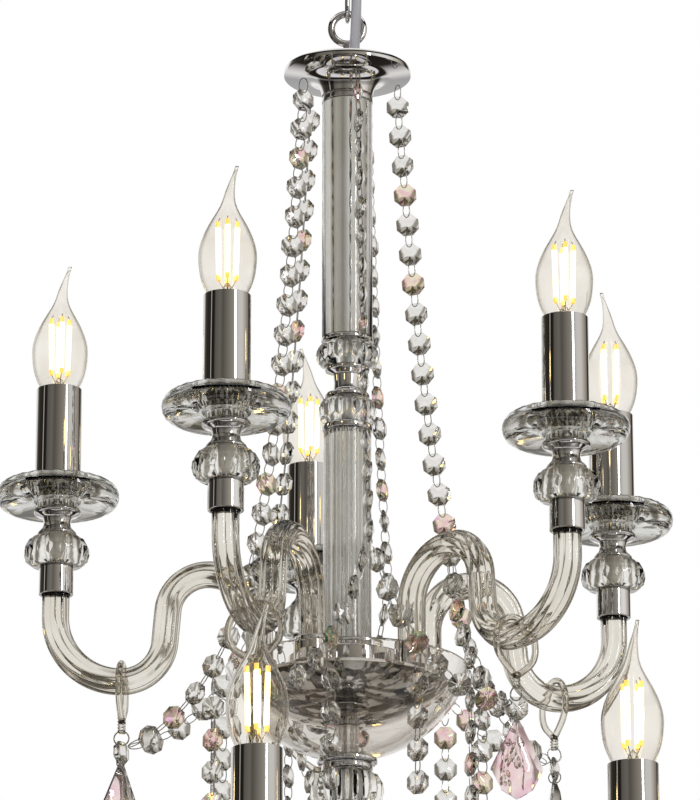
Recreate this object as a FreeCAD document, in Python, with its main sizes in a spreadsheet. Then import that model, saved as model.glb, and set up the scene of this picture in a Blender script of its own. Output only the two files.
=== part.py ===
import FreeCAD, Part
import math
import os
import Sketcher
from types import SimpleNamespace

# Two-tier crystal chandelier: five lights above, ten below.
# Millimetres, +Z up. The origin is on the ceiling, at the centre of the fixing plate, so everything hangs at z < 0.
# Angles are seen from above: 0 points to the front (-Y), and a positive angle turns towards +X.
# Heights named "Level" are measured from the rim of the upper candle tubes.

Vector = FreeCAD.Vector
DOC = FreeCAD.newDocument("chandelier")

DIMENSIONS = {
    # ceiling fixing and suspension
    "plateLength": 100, "plateWidth": 22, "plateThickness": 3, "plateHoleSpacing": 80, "plateHoleRadius": 2.6,
    "nutRadius": 9, "nutHeight": 5,
    "canopyRadius": 60, "canopyHeight": 43, "canopyWall": 1.2, "canopyCorner": 34,
    "stemRadius": 5, "collarRadius": 9, "collarHeight": 3,
    "eyeRadius": 10.9, "eyeWire": 2.5, "eyeDrop": 14.9,
    "linkWire": 1.75, "linkRadius": 9.25, "linkStraight": 16, "linkCount": 3,
    "cableRadius": 3.5, "cableHoleRadius": 4.6, "cableAcross": 5.8, "cableForward": 6.5,
    "cableFootAcross": 4.9,
    # top disc and its eye
    "eyeLevel": 253.5, "discTopLevel": 227, "discEdgeLevel": 222.9, "discBottomLevel": 218.9, "discRadius": 43,
    "neckLevel": 204, "neckFlare": 13.5, "neckWall": 1.5, "discSkin": 6.5,
    "eyeStudRadius": 3, "eyeNutRadius": 6, "eyeNutHeight": 3.5, "eyeStudLength": 17,
    # column
    "rodRadius": 5, "fitGap": 0.3, "wireGap": 0.2,
    "sleeveRadius": 17, "lowSleeveRadius": 16, "sleeveWall": 2, "upperCoreRadius": 13.8, "lowCoreRadius": 10,
    "coreWall": 1, "ringRadius": 17.5, "ringHeight": 3, "lowRingRadius": 17, "lowRingHeight": 5,
    "upperSleeveLength": 168, "middleSleeveLength": 159, "lowerSleeveLength": 250,
    "ballRadius": 21, "ballHeight": 25, "smallBallRadius": 19.5, "smallBallHeight": 20,
    "lowBallRadius": 24, "lowBallHeight": 26, "waistHeight": 14, "waistRadius": 9.5, "waistFlange": 14,
    "drumRadius": 39, "drumHeight": 17, "lowDrumRadius": 52, "lowDrumHeight": 27, "drumEdge": 1.5,
    "hubRadius": 66, "hubPlate": 2.5, "cupDepth": 27, "cupWall": 1.2, "cupFloorRadius": 11,
    "lowHubRadius": 95, "lowCupDepth": 45,
    "bowlRadius": 80.2, "bowlDepth": 60, "lowBowlRadius": 115, "lowBowlDepth": 86, "bowlWall": 3,
    "bowlBelowHub": 51, "lowBowlBelowHub": 83, "stemTubeRadius": 7.5,
    "flangeRadius": 20, "flangeHeight": 4, "finialRadius": 28, "finialHeight": 52, "finialCapHeight": 12,
    "finialCapRadius": 9, "finialHoleDepth": 6,
    # one candle light, heights from its own rim
    "tubeRadius": 15.3, "tubeWall": 0.7, "tubeHeight": 62.5,
    "panRadius": 41.2, "panHeight": 21, "panEdge": 18.4, "panSeatRadius": 17, "spoolHeight": 18, "spoolTop": 15.7,
    "spoolNeck": 9, "spoolFoot": 13, "spoolRim": 3, "gemRadius": 21.8, "gemHeight": 20.7, "gemSeatRadius": 13,
    "gemFootRadius": 18, "ferruleRadius": 11.55, "ferruleHeight": 20.3, "ferruleRoof": 5,
    "holderRadius": 11.5, "holderTop": 8, "holderBore": 7.4, "holderDepth": 24.5, "tailRadius": 5,
    "capRadius": 6.9, "capLength": 24, "capTop": 6, "bulbRadius": 17.5, "bulbHeight": 88,
    # glass arms
    "armRadius": 9.15, "footHeight": 16, "footFloor": 1.5,
    "upperReach": 193.7, "upperFoot": 58, "upperArch": 35, "upperShoulder": 26, "upperDip": 28, "upperSweep": 45,
    "upperRise": 30.35, "upperCrown": 131,
    "lowerReach": 364.3, "lowerFoot": 80, "lowerArch": 62, "lowerShoulder": 50, "lowerDip": 55, "lowerSweep": 74,
    "lowerRise": 33.8, "lowerCrown": 125, "lowerRimLevel": -342.5,
    "lowerFirstAngle": -8.3, "lowerCount": 10,
    # crystal dressing
    "strandCount": 5, "strandFirstAngle": 12, "beadAcross": 15, "beadThickness": 7, "beadPitch": 21.5,
    "strandSeat": 1.5, "forkReach": 0.8, "dropBeads": 4, "dropSpace": 6.5, "linkPlateWidth": 2.4, "linkPlateThickness": 1,
    "loopSpace": 0.1, "loopHeight": 43, "loopWire": 2.25, "loopTip": 3, "loopNeck": 6, "loopBeadDrop": 10.5,
    "pendantWidth": 34, "pendantLength": 52, "pendantThickness": 11, "pendantLink": 2, "pendantGap": 0.5,
    "pendantTurn": -40,
}
UPPER_ANGLES = (336.8, 46.3, 112.4, 188.0, 265.1)   # the five upper arms, as set by hand on their plate
SIDES = 12                                          # facets round a crystal pan, gem or ball
ARM_SIDES = 8                                       # flutes round a glass arm
WIRE_SIDES = 8                                      # flats round a link, an eye or the cable


class Size:
    """A size kept twice: the number that a sketch starts from, and the sheet's expression that drives it."""

    def __init__(self, value, text):
        self.value = value
        self.text = text

    def _with(self, other, sign, result):
        text = other.text if isinstance(other, Size) else repr(float(other))
        return Size(result, "(%s %s %s)" % (self.text, sign, text))

    def __add__(self, other):
        return self._with(other, "+", self.value + number(other))

    def __sub__(self, other):
        return self._with(other, "-", self.value - number(other))

    def __mul__(self, other):
        return self._with(other, "*", self.value * number(other))

    def __truediv__(self, other):
        return self._with(other, "/", self.value / number(other))

    def __neg__(self):
        return Size(-self.value, "(-1 * %s)" % self.text)


def number(size):
    return size.value if isinstance(size, Size) else float(size)


def read_sheet():
    """Writes the driving dimensions into the sheet and gives them back by name."""
    sheet = DOC.addObject("Spreadsheet::Sheet", "Dims")
    sizes = {}
    for row, (alias, value) in enumerate(DIMENSIONS.items(), 1):
        sheet.set("A%d" % row, alias)
        sheet.set("B%d" % row, str(value))
        sheet.setAlias("B%d" % row, alias)
        sizes[alias] = Size(float(value), "Dims." + alias)
    DOC.recompute()
    return SimpleNamespace(**sizes)


d = read_sheet()
ZERO = d.plateLength * 0
BORE = d.rodRadius + d.fitGap
NODES = {}      # node name -> the object whose shape is written


# ---------------------------------------------------------------- heights down the axis
eyeTop = -(d.canopyHeight + d.eyeDrop)                       # centre of the canopy's eye
hangPitch = d.linkRadius * 2 + d.linkStraight                # centre to centre of a link's two bars
eyeSeat = d.eyeWire + d.linkWire + d.fitGap                  # an eye's bar to the bar of the link in it
linkSeat = d.linkWire * 2 + d.fitGap
firstLink = eyeTop - d.eyeRadius + eyeSeat                   # top bar of the highest link
lastLink = firstLink - (hangPitch - linkSeat) * (d.linkCount - 1) - hangPitch
lowerEye = lastLink + eyeSeat - d.eyeRadius                  # centre of the eye on the top disc
rim = lowerEye - d.eyeLevel                                  # rim of the upper candle tubes

sleeveFoot = d.neckLevel - d.upperSleeveLength
ballTop = sleeveFoot - d.ringHeight
waistTop = ballTop - d.ballHeight
smallTop = waistTop - d.waistHeight
ringTop = smallTop - d.smallBallHeight
middleTop = ringTop - d.lowRingHeight
drumTop = middleTop - d.middleSleeveLength
plateTop = drumTop - d.drumHeight
cupTop = plateTop - d.hubPlate
bowlFoot = plateTop - d.bowlBelowHub
flangeFoot = bowlFoot - d.flangeHeight
lowBallTop = flangeFoot - d.lowRingHeight
lowRingTop = lowBallTop - d.lowBallHeight
lowSleeveTop = lowRingTop - d.lowRingHeight
lastRingTop = lowSleeveTop - d.lowerSleeveLength
lastBallTop = lastRingTop - d.lowRingHeight
lowDrumTop = lastBallTop - d.lowBallHeight
lowPlateTop = lowDrumTop - d.lowDrumHeight
lowCupTop = lowPlateTop - d.hubPlate
lowBowlFoot = lowPlateTop - d.lowBowlBelowHub
finialTop = lowBowlFoot - d.flangeHeight
finialFoot = finialTop - d.finialHeight
panTop = -d.tubeHeight
spoolTop = panTop - d.panHeight
gemTop = spoolTop - d.spoolHeight
ferruleTop = gemTop - d.gemHeight
ferruleFoot = ferruleTop - d.ferruleHeight


# ---------------------------------------------------------------- ways of making a piece
def origin_plane(body, role):
    return [feature for feature in body.Origin.OriginFeatures if feature.Role == role][0]


def draw_profile(sketch, corners):
    """Closed outline through (radius, height) corners, each held in place by its expressions."""
    count = len(corners)
    points = [Vector(number(r), number(z), 0) for r, z in corners]
    for i in range(count):
        sketch.addGeometry(Part.LineSegment(points[i], points[(i + 1) % count]), False)
    for i in range(count):
        sketch.addConstraint(Sketcher.Constraint("Coincident", i, 2, (i + 1) % count, 1))
    for i, (radius, height) in enumerate(corners):
        bind(sketch, Sketcher.Constraint("DistanceX", -1, 1, i, 1, number(radius)), radius)
        bind(sketch, Sketcher.Constraint("DistanceY", -1, 1, i, 1, number(height)), height)


def bind(sketch, constraint, size):
    index = sketch.addConstraint(constraint)
    if isinstance(size, Size):
        sketch.setExpression("Constraints[%d]" % index, size.text)


def turned(name, corners):
    """A piece turned round the Z axis from a half section of (radius, height) corners."""
    body = DOC.addObject("PartDesign::Body", name)
    sketch = body.newObject("Sketcher::SketchObject", name + "_profile")
    sketch.AttachmentSupport = [(origin_plane(body, "XZ_Plane"), "")]
    sketch.MapMode = "FlatFace"
    draw_profile(sketch, corners)
    revolution = body.newObject("PartDesign::Revolution", name + "_turned")
    revolution.Profile = sketch
    revolution.ReferenceAxis = (sketch, ["V_Axis"])
    revolution.Angle = 360
    return body


def tube(name, outer, inner, top, foot):
    return turned(name, [(inner, foot), (outer, foot), (outer, top), (inner, top)])


def solid_of(faces):
    solid = Part.Solid(Part.Shell(faces))
    return solid if solid.Volume > 0 else solid.reversed()


def polygon_ring(radius, height, turn, sides, aside=0):
    """Corners of a level regular polygon; turn is in steps of half a side, aside moves it along X."""
    angles = [math.pi * (2 * k + turn) / sides for k in range(sides)]
    return [Vector(aside + number(radius) * math.cos(a), number(radius) * math.sin(a), number(height))
            for a in angles]


def faceted(rings, sides=SIDES):
    """Cut form through level rings of (radius, height, turn, aside), lowest first, closed by flat tables."""
    levels = [polygon_ring(ring[0], ring[1], ring[2], sides, *ring[3:]) for ring in rings]
    faces = [face_of(levels[0]), face_of(levels[-1])]
    for (low, high), (first, second) in zip(zip(levels, levels[1:]), zip(rings, rings[1:])):
        faces += facet_band(low, high, second[2] - first[2])
    return solid_of(faces)


def facet_band(low, high, turn):
    """Flat facets between two rings: four-sided where they line up, triangles where one is turned half a side."""
    sides = len(low)
    faces = []
    for k in range(sides):
        after = (k + 1) % sides
        if turn == 0:
            faces.append(face_of([low[k], low[after], high[after], high[k]]))
        elif turn > 0:
            faces.append(face_of([low[k], low[after], high[k]]))
            faces.append(face_of([low[after], high[after], high[k]]))
        else:
            faces.append(face_of([low[k], high[after], high[k]]))
            faces.append(face_of([low[k], low[after], high[after]]))
    return faces


def face_of(points):
    return Part.Face(Part.makePolygon(points + points[:1]))


def bored(shape, radius):
    """The shape with a straight hole up its axis."""
    box = shape.BoundBox
    drill = Part.makeCylinder(number(radius), box.ZLength + 2, Vector(0, 0, box.ZMin - 1))
    return shape.cut(drill)


def feature(name, shape):
    made = DOC.addObject("Part::Feature", name)
    made.Shape = shape
    return made


def swept(path_edges, section):
    """A solid carried along a path of edges that run into one another smoothly."""
    return Part.Wire(path_edges).makePipeShell([section], True, True)


def polygon_section(centre, first, second, radius, sides):
    """A regular polygon with its flats square to the first direction, in the plane of the two directions."""
    angles = [2 * math.pi * (k + 0.5) / sides for k in range(sides)]
    points = [centre + first * (radius * math.cos(a)) + second * (radius * math.sin(a)) for a in angles]
    return Part.makePolygon(points + points[:1])


def line(start, end):
    return Part.LineSegment(start, end).toShape()


def arc(centre, radius, start, end):
    """Arc in the XZ plane; angles in degrees from +X towards +Z."""
    def at(angle):
        return centre + Vector(radius * math.cos(math.radians(angle)), 0, radius * math.sin(math.radians(angle)))
    return Part.Arc(at(start), at((start + end) / 2), at(end)).toShape()


def round_corner(centre_r, centre_z, radius, start, end, runs=3):
    """Profile corners along an arc, angles in degrees from outward to up, in straight runs."""
    angles = [math.radians(start + (end - start) * k / runs) for k in range(runs + 1)]
    return [(centre_r + radius * math.cos(a), centre_z + radius * math.sin(a)) for a in angles]


def dome(radius, foot, depth, opening, runs=6):
    """Profile corners up a round bowl, from near its middle to its rim; opening is half its arc, in degrees."""
    last = math.radians(opening)
    angles = [last * k / runs for k in range(1, runs + 1)]
    return [(radius * (math.sin(a) / math.sin(last)), foot + depth * ((1 - math.cos(a)) / (1 - math.cos(last))))
            for a in angles]


# ---------------------------------------------------------------- places
def outward(angle):
    """Level unit vector at an angle seen from above, 0 to the front."""
    turn = math.radians(angle)
    return Vector(math.sin(turn), -math.cos(turn), 0)


def sideways(angle):
    turn = math.radians(angle)
    return Vector(math.cos(turn), math.sin(turn), 0)


def standing_at(radius, angle, height):
    """Placement that keeps a piece upright, with its own +X turned to point outward."""
    rotation = FreeCAD.Rotation(Vector(0, 0, 1), angle - 90)
    return FreeCAD.Placement(outward(angle) * radius + Vector(0, 0, height), rotation)


def upper_places(radius):
    return [standing_at(number(radius), angle, rim.value) for angle in UPPER_ANGLES]


def lower_angles():
    count = int(d.lowerCount.value)
    return [d.lowerFirstAngle.value + 360.0 / count * k for k in range(count)]


def lower_places(radius):
    height = rim.value + d.lowerRimLevel.value
    return [standing_at(number(radius), angle, height) for angle in lower_angles()]


def placed(shape, placement):
    copy = shape.copy()
    copy.Placement = placement.multiply(copy.Placement)
    return copy


def node_from(name, shapes):
    """A node that holds one or more solids, already in their places."""
    NODES[name] = feature(name, Part.makeCompound(shapes) if len(shapes) > 1 else shapes[0])


def node_on_axis(name, body):
    """A turned piece of the column, drawn from the upper rim's height and hung at it."""
    body.setExpression("Placement.Base.z", rim.text)
    NODES[name] = body


def column_group(name, bodies):
    DOC.recompute()
    lift = FreeCAD.Placement(Vector(0, 0, rim.value), FreeCAD.Rotation())
    node_from(name, [placed(solid_in(body), lift) for body in bodies])


def solid_in(body):
    return body.Shape.Solids[0]


def all_lights(name, piece):
    """The same small piece on every candle light, in one node."""
    places = upper_places(d.upperReach) + lower_places(d.lowerReach)
    node_from(name, [placed(piece, place) for place in places])


def light_group(name, piece):
    """The same piece on all the candle lights: one node for the upper tier and one for the lower."""
    node_from("upper_" + name, [placed(piece, place) for place in upper_places(d.upperReach)])
    node_from("lower_" + name, [placed(piece, place) for place in lower_places(d.lowerReach)])


# ---------------------------------------------------------------- ceiling fixing and suspension
def make_fixing_plate():
    plate = DOC.addObject("Part::Box", "plate_blank")
    for prop, size in (("Length", d.plateLength), ("Width", d.plateWidth), ("Height", d.plateThickness)):
        plate.setExpression(prop, size.text)
    plate.setExpression("Placement.Base.x", (-(d.plateLength / 2)).text)
    plate.setExpression("Placement.Base.y", (-(d.plateWidth / 2)).text)
    plate.setExpression("Placement.Base.z", (-d.plateThickness).text)
    DOC.recompute()
    shape = plate.Shape
    for across, radius in ((-1, d.plateHoleRadius), (1, d.plateHoleRadius), (0, d.stemRadius + d.fitGap)):
        foot = Vector(across * d.plateHoleSpacing.value / 2, 0, -2 * d.plateThickness.value)
        shape = shape.cut(Part.makeCylinder(radius.value, 3 * d.plateThickness.value, foot))
    node_from("fixing_plate", [shape])


def make_lock_nut():
    """Hexagon nut that locks the threaded stem under the fixing plate."""
    top = -(d.plateThickness + d.fitGap)
    nut = faceted([(d.nutRadius, top - d.nutHeight, 0), (d.nutRadius, top, 0)], 6)
    node_from("lock_nut", [bored(nut, d.stemRadius + d.fitGap)])


def make_canopy():
    """A spun cup, open against the ceiling, with a hole for the stem and one for the cable."""
    wall, high, wide, corner = d.canopyWall, d.canopyHeight, d.canopyRadius, d.canopyCorner
    hole = d.stemRadius + d.fitGap
    outside = round_corner(wide - corner, corner - high, corner, -90, 0, 5)
    inside = round_corner(wide - corner, corner - high, corner - wall, 0, -90, 5)
    body = turned("canopy_spun", [(hole, -high)] + outside + [(wide, ZERO), (wide - wall, ZERO)] + inside
                  + [(hole, wall - high)])
    DOC.recompute()
    at = cable_top_place()
    way = Part.makeCylinder(d.cableHoleRadius.value, 10, Vector(at.x, at.y, -high.value - 5))
    node_from("canopy", [solid_in(body).cut(way)])


def cable_top_place():
    """Where the cable goes through the canopy, clear of the collar."""
    away = Vector(d.cableAcross.value, -d.cableForward.value, 0).normalize()
    return away * (d.collarRadius.value + d.cableHoleRadius.value + 3)


def cable_foot_place():
    """Where the cable goes through the top disc, clear of the eye's nut."""
    away, across = d.eyeNutRadius.value + d.cableHoleRadius.value + 3, d.cableFootAcross.value
    return Vector(across, -math.sqrt(away ** 2 - across ** 2), 0)


def eye_ring(height):
    """Upright wire ring in the XZ plane, swept with a flat-sided section."""
    middle, radius = Vector(0, 0, height), d.eyeRadius.value
    path = [arc(middle, radius, 0, 180), arc(middle, radius, 180, 360)]
    start = middle + Vector(radius, 0, 0)
    return swept(path, polygon_section(start, Vector(1, 0, 0), Vector(0, 1, 0), d.eyeWire.value, WIRE_SIDES))


def make_canopy_eye():
    """Threaded stem, collar and eye in one: the collar holds the canopy up against the ceiling."""
    top = d.canopyHeight
    body = turned("canopy_stem", [
        (ZERO, -(top + d.collarHeight)), (d.collarRadius, -(top + d.collarHeight)),
        (d.collarRadius, -(top + d.fitGap)), (d.stemRadius, -(top + d.fitGap)),
        (d.stemRadius, -(d.plateThickness * 0.2)), (ZERO, -(d.plateThickness * 0.2))])
    DOC.recompute()
    node_from("canopy_eye", [solid_in(body).fuse(eye_ring(eyeTop.value)).removeSplitter()])


def chain_link(height, turned_round):
    """One oval link whose top bar is at the given height, in the XZ plane or turned into the YZ plane."""
    radius, half = d.linkRadius.value, d.linkStraight.value / 2
    middle = height - radius - half
    high, low = Vector(0, 0, middle + half), Vector(0, 0, middle - half)
    side = Vector(radius, 0, 0)
    path = [line(low + side, high + side), arc(high, radius, 0, 180),
            line(high - side, low - side), arc(low, radius, 180, 360)]
    link = swept(path, polygon_section(low + side, Vector(1, 0, 0), Vector(0, 1, 0), d.linkWire.value, WIRE_SIDES))
    if turned_round:
        link.rotate(Vector(0, 0, 0), Vector(0, 0, 1), 90)
    return link


def make_chain():
    step = hangPitch.value - linkSeat.value
    count = int(d.linkCount.value)
    node_from("chain_links", [chain_link(firstLink.value - step * k, k % 2 == 0) for k in range(count)])


def rounded_route(points):
    """Straight runs joined by tangent arcs, each as large as its two runs allow."""
    edges = []
    here = points[0]
    for before, corner, after in zip(points, points[1:], points[2:]):
        back, on = (before - corner), (after - corner)
        turn = math.pi - back.getAngle(on)
        reach = 0.45 * min(back.Length, on.Length)
        radius = reach / math.tan(turn / 2)
        start = corner + back.normalize() * reach
        end = corner + on.normalize() * reach
        toward = (back + on).normalize()
        crest = corner + toward * (math.hypot(radius, reach) - radius)
        edges += [line(here, start), Part.Arc(start, crest, end).toShape()]
        here = end
    return edges + [line(here, points[-1])]


def make_cable():
    """Supply cable, threaded down beside the chain from the canopy into the top disc."""
    high, low = cable_top_place(), cable_foot_place()
    beside = Vector(d.cableAcross.value, -d.cableForward.value, 0)
    roof = rim.value + d.discTopLevel.value
    points = [high + Vector(0, 0, -d.canopyHeight.value + 3), high + Vector(0, 0, -d.canopyHeight.value - 9),
              beside + Vector(0, 0, eyeTop.value - 22), beside + Vector(0, 0, lowerEye.value - 4),
              low + Vector(0, 0, roof + 7), low + Vector(0, 0, roof - d.discSkin.value - 4)]
    section = polygon_section(points[0], Vector(1, 0, 0), Vector(0, 1, 0), d.cableRadius.value, WIRE_SIDES)
    cable = swept(rounded_route(points), section)
    node_from("supply_cable", [cable])


# ---------------------------------------------------------------- column
def make_top_eye():
    top = d.discTopLevel
    body = turned("top_eye_stem", [
        (ZERO, top - d.eyeStudLength), (d.eyeStudRadius, top - d.eyeStudLength), (d.eyeStudRadius, top),
        (d.eyeNutRadius, top), (d.eyeNutRadius, top + d.eyeNutHeight),
        (d.eyeStudRadius, top + d.eyeNutHeight), (d.eyeStudRadius, d.eyeLevel - d.eyeRadius),
        (ZERO, d.eyeLevel - d.eyeRadius)])
    DOC.recompute()
    shape = solid_in(body).fuse(eye_ring(d.eyeLevel.value)).removeSplitter()
    shape.translate(Vector(0, 0, rim.value))
    node_from("top_eye", [shape])


def make_top_disc():
    """Chrome disc with a trumpet neck that closes on the glass sleeve."""
    hole = d.eyeStudRadius + d.wireGap
    mouth = d.sleeveRadius + 0.5
    roof = d.discTopLevel - d.discSkin
    flare_centre, curl = mouth + d.neckFlare, d.neckFlare
    outside = round_corner(flare_centre, d.neckLevel, curl, 180, 90, 4)
    inside = round_corner(flare_centre, d.neckLevel, curl + d.neckWall, 110, 180, 3)
    body = turned("top_disc_turned", outside + [
        (d.discRadius, d.discBottomLevel), (d.discRadius, d.discEdgeLevel), (d.eyeNutRadius + 2, d.discTopLevel),
        (hole, d.discTopLevel), (hole, roof), (inside[0][0], roof)] + inside)
    DOC.recompute()
    at = cable_foot_place()
    drill = Part.makeCylinder(d.cableHoleRadius.value, 20, Vector(at.x, at.y, roof.value - 5))
    shape = solid_in(body).cut(drill)
    shape.translate(Vector(0, 0, rim.value))
    node_from("top_disc", [shape])


def make_column_tubes():
    upper, low = d.sleeveRadius, d.lowSleeveRadius
    sleeves = [
        tube("upper_sleeve", upper, upper - d.sleeveWall, d.neckLevel, sleeveFoot),
        tube("middle_sleeve", low, low - d.sleeveWall, middleTop, drumTop),
        tube("lower_sleeve", low, low - d.sleeveWall, lowSleeveTop, lastRingTop)]
    column_group("column_glass_sleeves", sleeves)
    cores = [
        tube("upper_core", d.upperCoreRadius, d.upperCoreRadius - d.coreWall, d.neckLevel, sleeveFoot),
        tube("middle_core", d.lowCoreRadius, d.lowCoreRadius - d.coreWall, middleTop, drumTop),
        tube("lower_core", d.lowCoreRadius, d.lowCoreRadius - d.coreWall, lowSleeveTop, lastRingTop)]
    column_group("column_core_tubes", cores)


def ring(name, radius, top, height):
    """A flat ring with a rounded edge."""
    foot = top - height
    edge = radius - height * 0.3
    return turned(name, [(BORE, foot), (edge, foot), (radius, foot + height * 0.3), (radius, top - height * 0.3),
                         (edge, top), (BORE, top)])


def make_column_rings():
    rings = [
        ring("sleeve_ring", d.ringRadius, sleeveFoot, d.ringHeight),
        ring("middle_ring", d.lowRingRadius, ringTop, d.lowRingHeight),
        ring("flange_ring", d.lowRingRadius, flangeFoot, d.lowRingHeight),
        ring("low_ring", d.lowRingRadius, lowRingTop, d.lowRingHeight),
        ring("last_ring", d.lowRingRadius, lastRingTop, d.lowRingHeight)]
    column_group("column_rings", rings)


def cut_ball(radius, top, height, seat):
    """Faceted oblate ball between two flat seats, with the rod's hole."""
    foot = top - height
    shape = faceted([(seat, foot, 0), (radius * 0.93, foot + height * 0.3, 1), (radius * 0.93, foot + height * 0.7, 2),
                     (seat, top, 3)])
    return shape


def make_column_balls():
    balls = [
        cut_ball(d.ballRadius, ballTop, d.ballHeight, d.waistFlange),
        cut_ball(d.smallBallRadius, smallTop, d.smallBallHeight, d.waistFlange),
        cut_ball(d.lowBallRadius, lowBallTop, d.lowBallHeight, d.waistFlange),
        cut_ball(d.lowBallRadius, lastBallTop, d.lowBallHeight, d.waistFlange)]
    shapes = [bored(ball, BORE) for ball in balls]
    for shape in shapes:
        shape.translate(Vector(0, 0, rim.value))
    node_from("column_crystal_balls", [shape.Solids[0] for shape in shapes])


def make_waist():
    foot = smallTop
    node_on_axis("waist_spool", turned("waist_spool", [
        (BORE, foot), (d.waistFlange, foot), (d.waistFlange, foot + 2), (d.waistRadius, foot + 4.5),
        (d.waistRadius, waistTop - 4.5), (d.waistFlange, waistTop - 2), (d.waistFlange, waistTop),
        (BORE, waistTop)]))


def drum(name, radius, top, height):
    """A plain turned drum with eased edges."""
    foot, edge = top - height, d.drumEdge
    return turned(name, [
        (BORE, foot), (radius - edge, foot), (radius, foot + edge), (radius, top - edge), (radius - edge, top),
        (BORE, top)])


def make_hubs():
    column_group("hub_drums", [
        drum("upper_drum", d.drumRadius, drumTop, d.drumHeight),
        drum("lower_drum", d.lowDrumRadius, lowDrumTop, d.lowDrumHeight)])
    column_group("arm_plates", [
        tube("upper_plate", d.hubRadius, BORE, plateTop, cupTop),
        tube("lower_plate", d.lowHubRadius, BORE, lowPlateTop, lowCupTop)])
    column_group("hub_cups", [
        spun_cup("upper_cup", d.hubRadius, cupTop, d.cupDepth),
        spun_cup("lower_cup", d.lowHubRadius, lowCupTop, d.lowCupDepth)])
    seat = d.bowlWall + d.fitGap * 2          # clear of the bowl's inner face, which curves up from the rod
    column_group("bowl_stems", [
        tube("upper_stem", d.stemTubeRadius, BORE, cupTop - d.cupDepth, bowlFoot + seat),
        tube("lower_stem", d.stemTubeRadius, BORE, lowCupTop - d.lowCupDepth, lowBowlFoot + seat)])


def spun_cup(name, radius, top, depth):
    """A thin chrome cup: small flat floor, round side, open top that the arm plate closes."""
    wall, foot = d.cupWall, top - depth
    outside = dome(radius, foot, depth, 62)
    inside = dome(radius - wall, foot + wall, depth - wall, 62)
    return turned(name, [(BORE, foot), (d.cupFloorRadius, foot)] + outside[1:] + inside[:0:-1]
                  + [(d.cupFloorRadius, foot + wall), (BORE, foot + wall)])


def glass_bowl(name, radius, foot, depth):
    """A round glass bowl with the rod's hole in its foot."""
    wall = d.bowlWall
    outside = dome(radius, foot, depth, 74)
    inside = dome(radius - wall, foot + wall, depth - wall, 74)
    return turned(name, [(BORE, foot)] + outside + inside[::-1] + [(BORE, foot + wall)])


def make_bowls():
    node_on_axis("upper_bowl", glass_bowl("upper_bowl", d.bowlRadius, bowlFoot, d.bowlDepth))
    node_on_axis("lower_bowl", glass_bowl("lower_bowl", d.lowBowlRadius, lowBowlFoot, d.lowBowlDepth))
    column_group("bowl_flanges", [
        ring("upper_flange", d.flangeRadius, bowlFoot - d.fitGap, d.flangeHeight - d.fitGap),
        ring("lower_flange", d.flangeRadius, lowBowlFoot - d.fitGap, d.flangeHeight - d.fitGap)])


def make_finial():
    ball = bored(cut_ball(d.finialRadius, finialTop, d.finialHeight, d.finialCapRadius), BORE)
    ball.translate(Vector(0, 0, rim.value))
    node_from("finial_ball", [ball.Solids[0]])
    foot = finialFoot - d.finialCapHeight
    hole = finialFoot - d.finialHoleDepth
    node_on_axis("finial_cap", turned("finial_cap", [
        (ZERO, foot), (d.finialCapRadius * 0.75, finialFoot - d.finialCapHeight * 0.7),
        (d.finialCapRadius, finialFoot - 3), (d.finialCapRadius, finialFoot), (BORE, finialFoot),
        (BORE, hole), (ZERO, hole)]))


def make_tie_rod():
    top = d.discTopLevel - d.discSkin - d.fitGap
    node_on_axis("tie_rod", tube("tie_rod", d.rodRadius, d.eyeStudRadius + d.wireGap, top,
                                 finialFoot - d.finialHoleDepth + d.fitGap))


# ---------------------------------------------------------------- candle lights
def make_candle_tubes():
    body = tube("candle_tube_master", d.tubeRadius, d.tubeRadius - d.tubeWall, ZERO, panTop)
    DOC.recompute()
    light_group("candle_tubes", solid_in(body))


def make_drip_pans():
    """Cut-glass pan: a thick disc with a full, round edge, flat below, with diamond facets above the edge."""
    foot = panTop - d.panHeight
    flat = d.panRadius * 0.86
    pan = faceted([
        (flat, foot, 0), (d.panRadius * 0.98, foot + d.panEdge * 0.26, 0), (d.panRadius, foot + d.panEdge * 0.5, 0),
        (d.panRadius * 0.98, foot + d.panEdge * 0.74, 0), (flat, foot + d.panEdge, 1), (d.panSeatRadius, panTop, 2)])
    light_group("drip_pans", bored(pan, d.tailRadius + d.wireGap).Solids[0])


def make_spools():
    neck, edge = d.spoolNeck, d.spoolRim
    foot = gemTop
    body = turned("spool_master", [
        (d.tailRadius + d.wireGap, foot), (d.spoolFoot, foot), (neck, foot + edge * 1.6),
        (neck, spoolTop - edge * 2), (d.spoolTop, spoolTop - edge), (d.spoolTop, spoolTop),
        (d.tailRadius + d.wireGap, spoolTop)])
    DOC.recompute()
    light_group("candle_spools", solid_in(body))


def make_gems():
    high, wide = d.gemHeight, d.gemRadius
    gem = faceted([
        (d.gemFootRadius, ferruleTop, 0), (wide * 0.98, ferruleTop + high * 0.22, 0),
        (wide, ferruleTop + high * 0.45, 0), (wide * 0.9, ferruleTop + high * 0.72, 1), (d.gemSeatRadius, gemTop, 2)])
    light_group("crystal_gems", bored(gem, d.tailRadius + d.wireGap).Solids[0])


def make_ferrules():
    """Chrome cup that holds the glass arm's end from above."""
    inner = d.armRadius + d.fitGap * 1.5
    roof = ferruleTop - d.ferruleRoof
    body = turned("ferrule_master", [
        (inner, ferruleFoot), (d.ferruleRadius, ferruleFoot), (d.ferruleRadius, ferruleTop),
        (d.tailRadius + d.wireGap, ferruleTop), (d.tailRadius + d.wireGap, roof), (inner, roof)])
    DOC.recompute()
    all_lights("arm_ferrules", solid_in(body))


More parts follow.
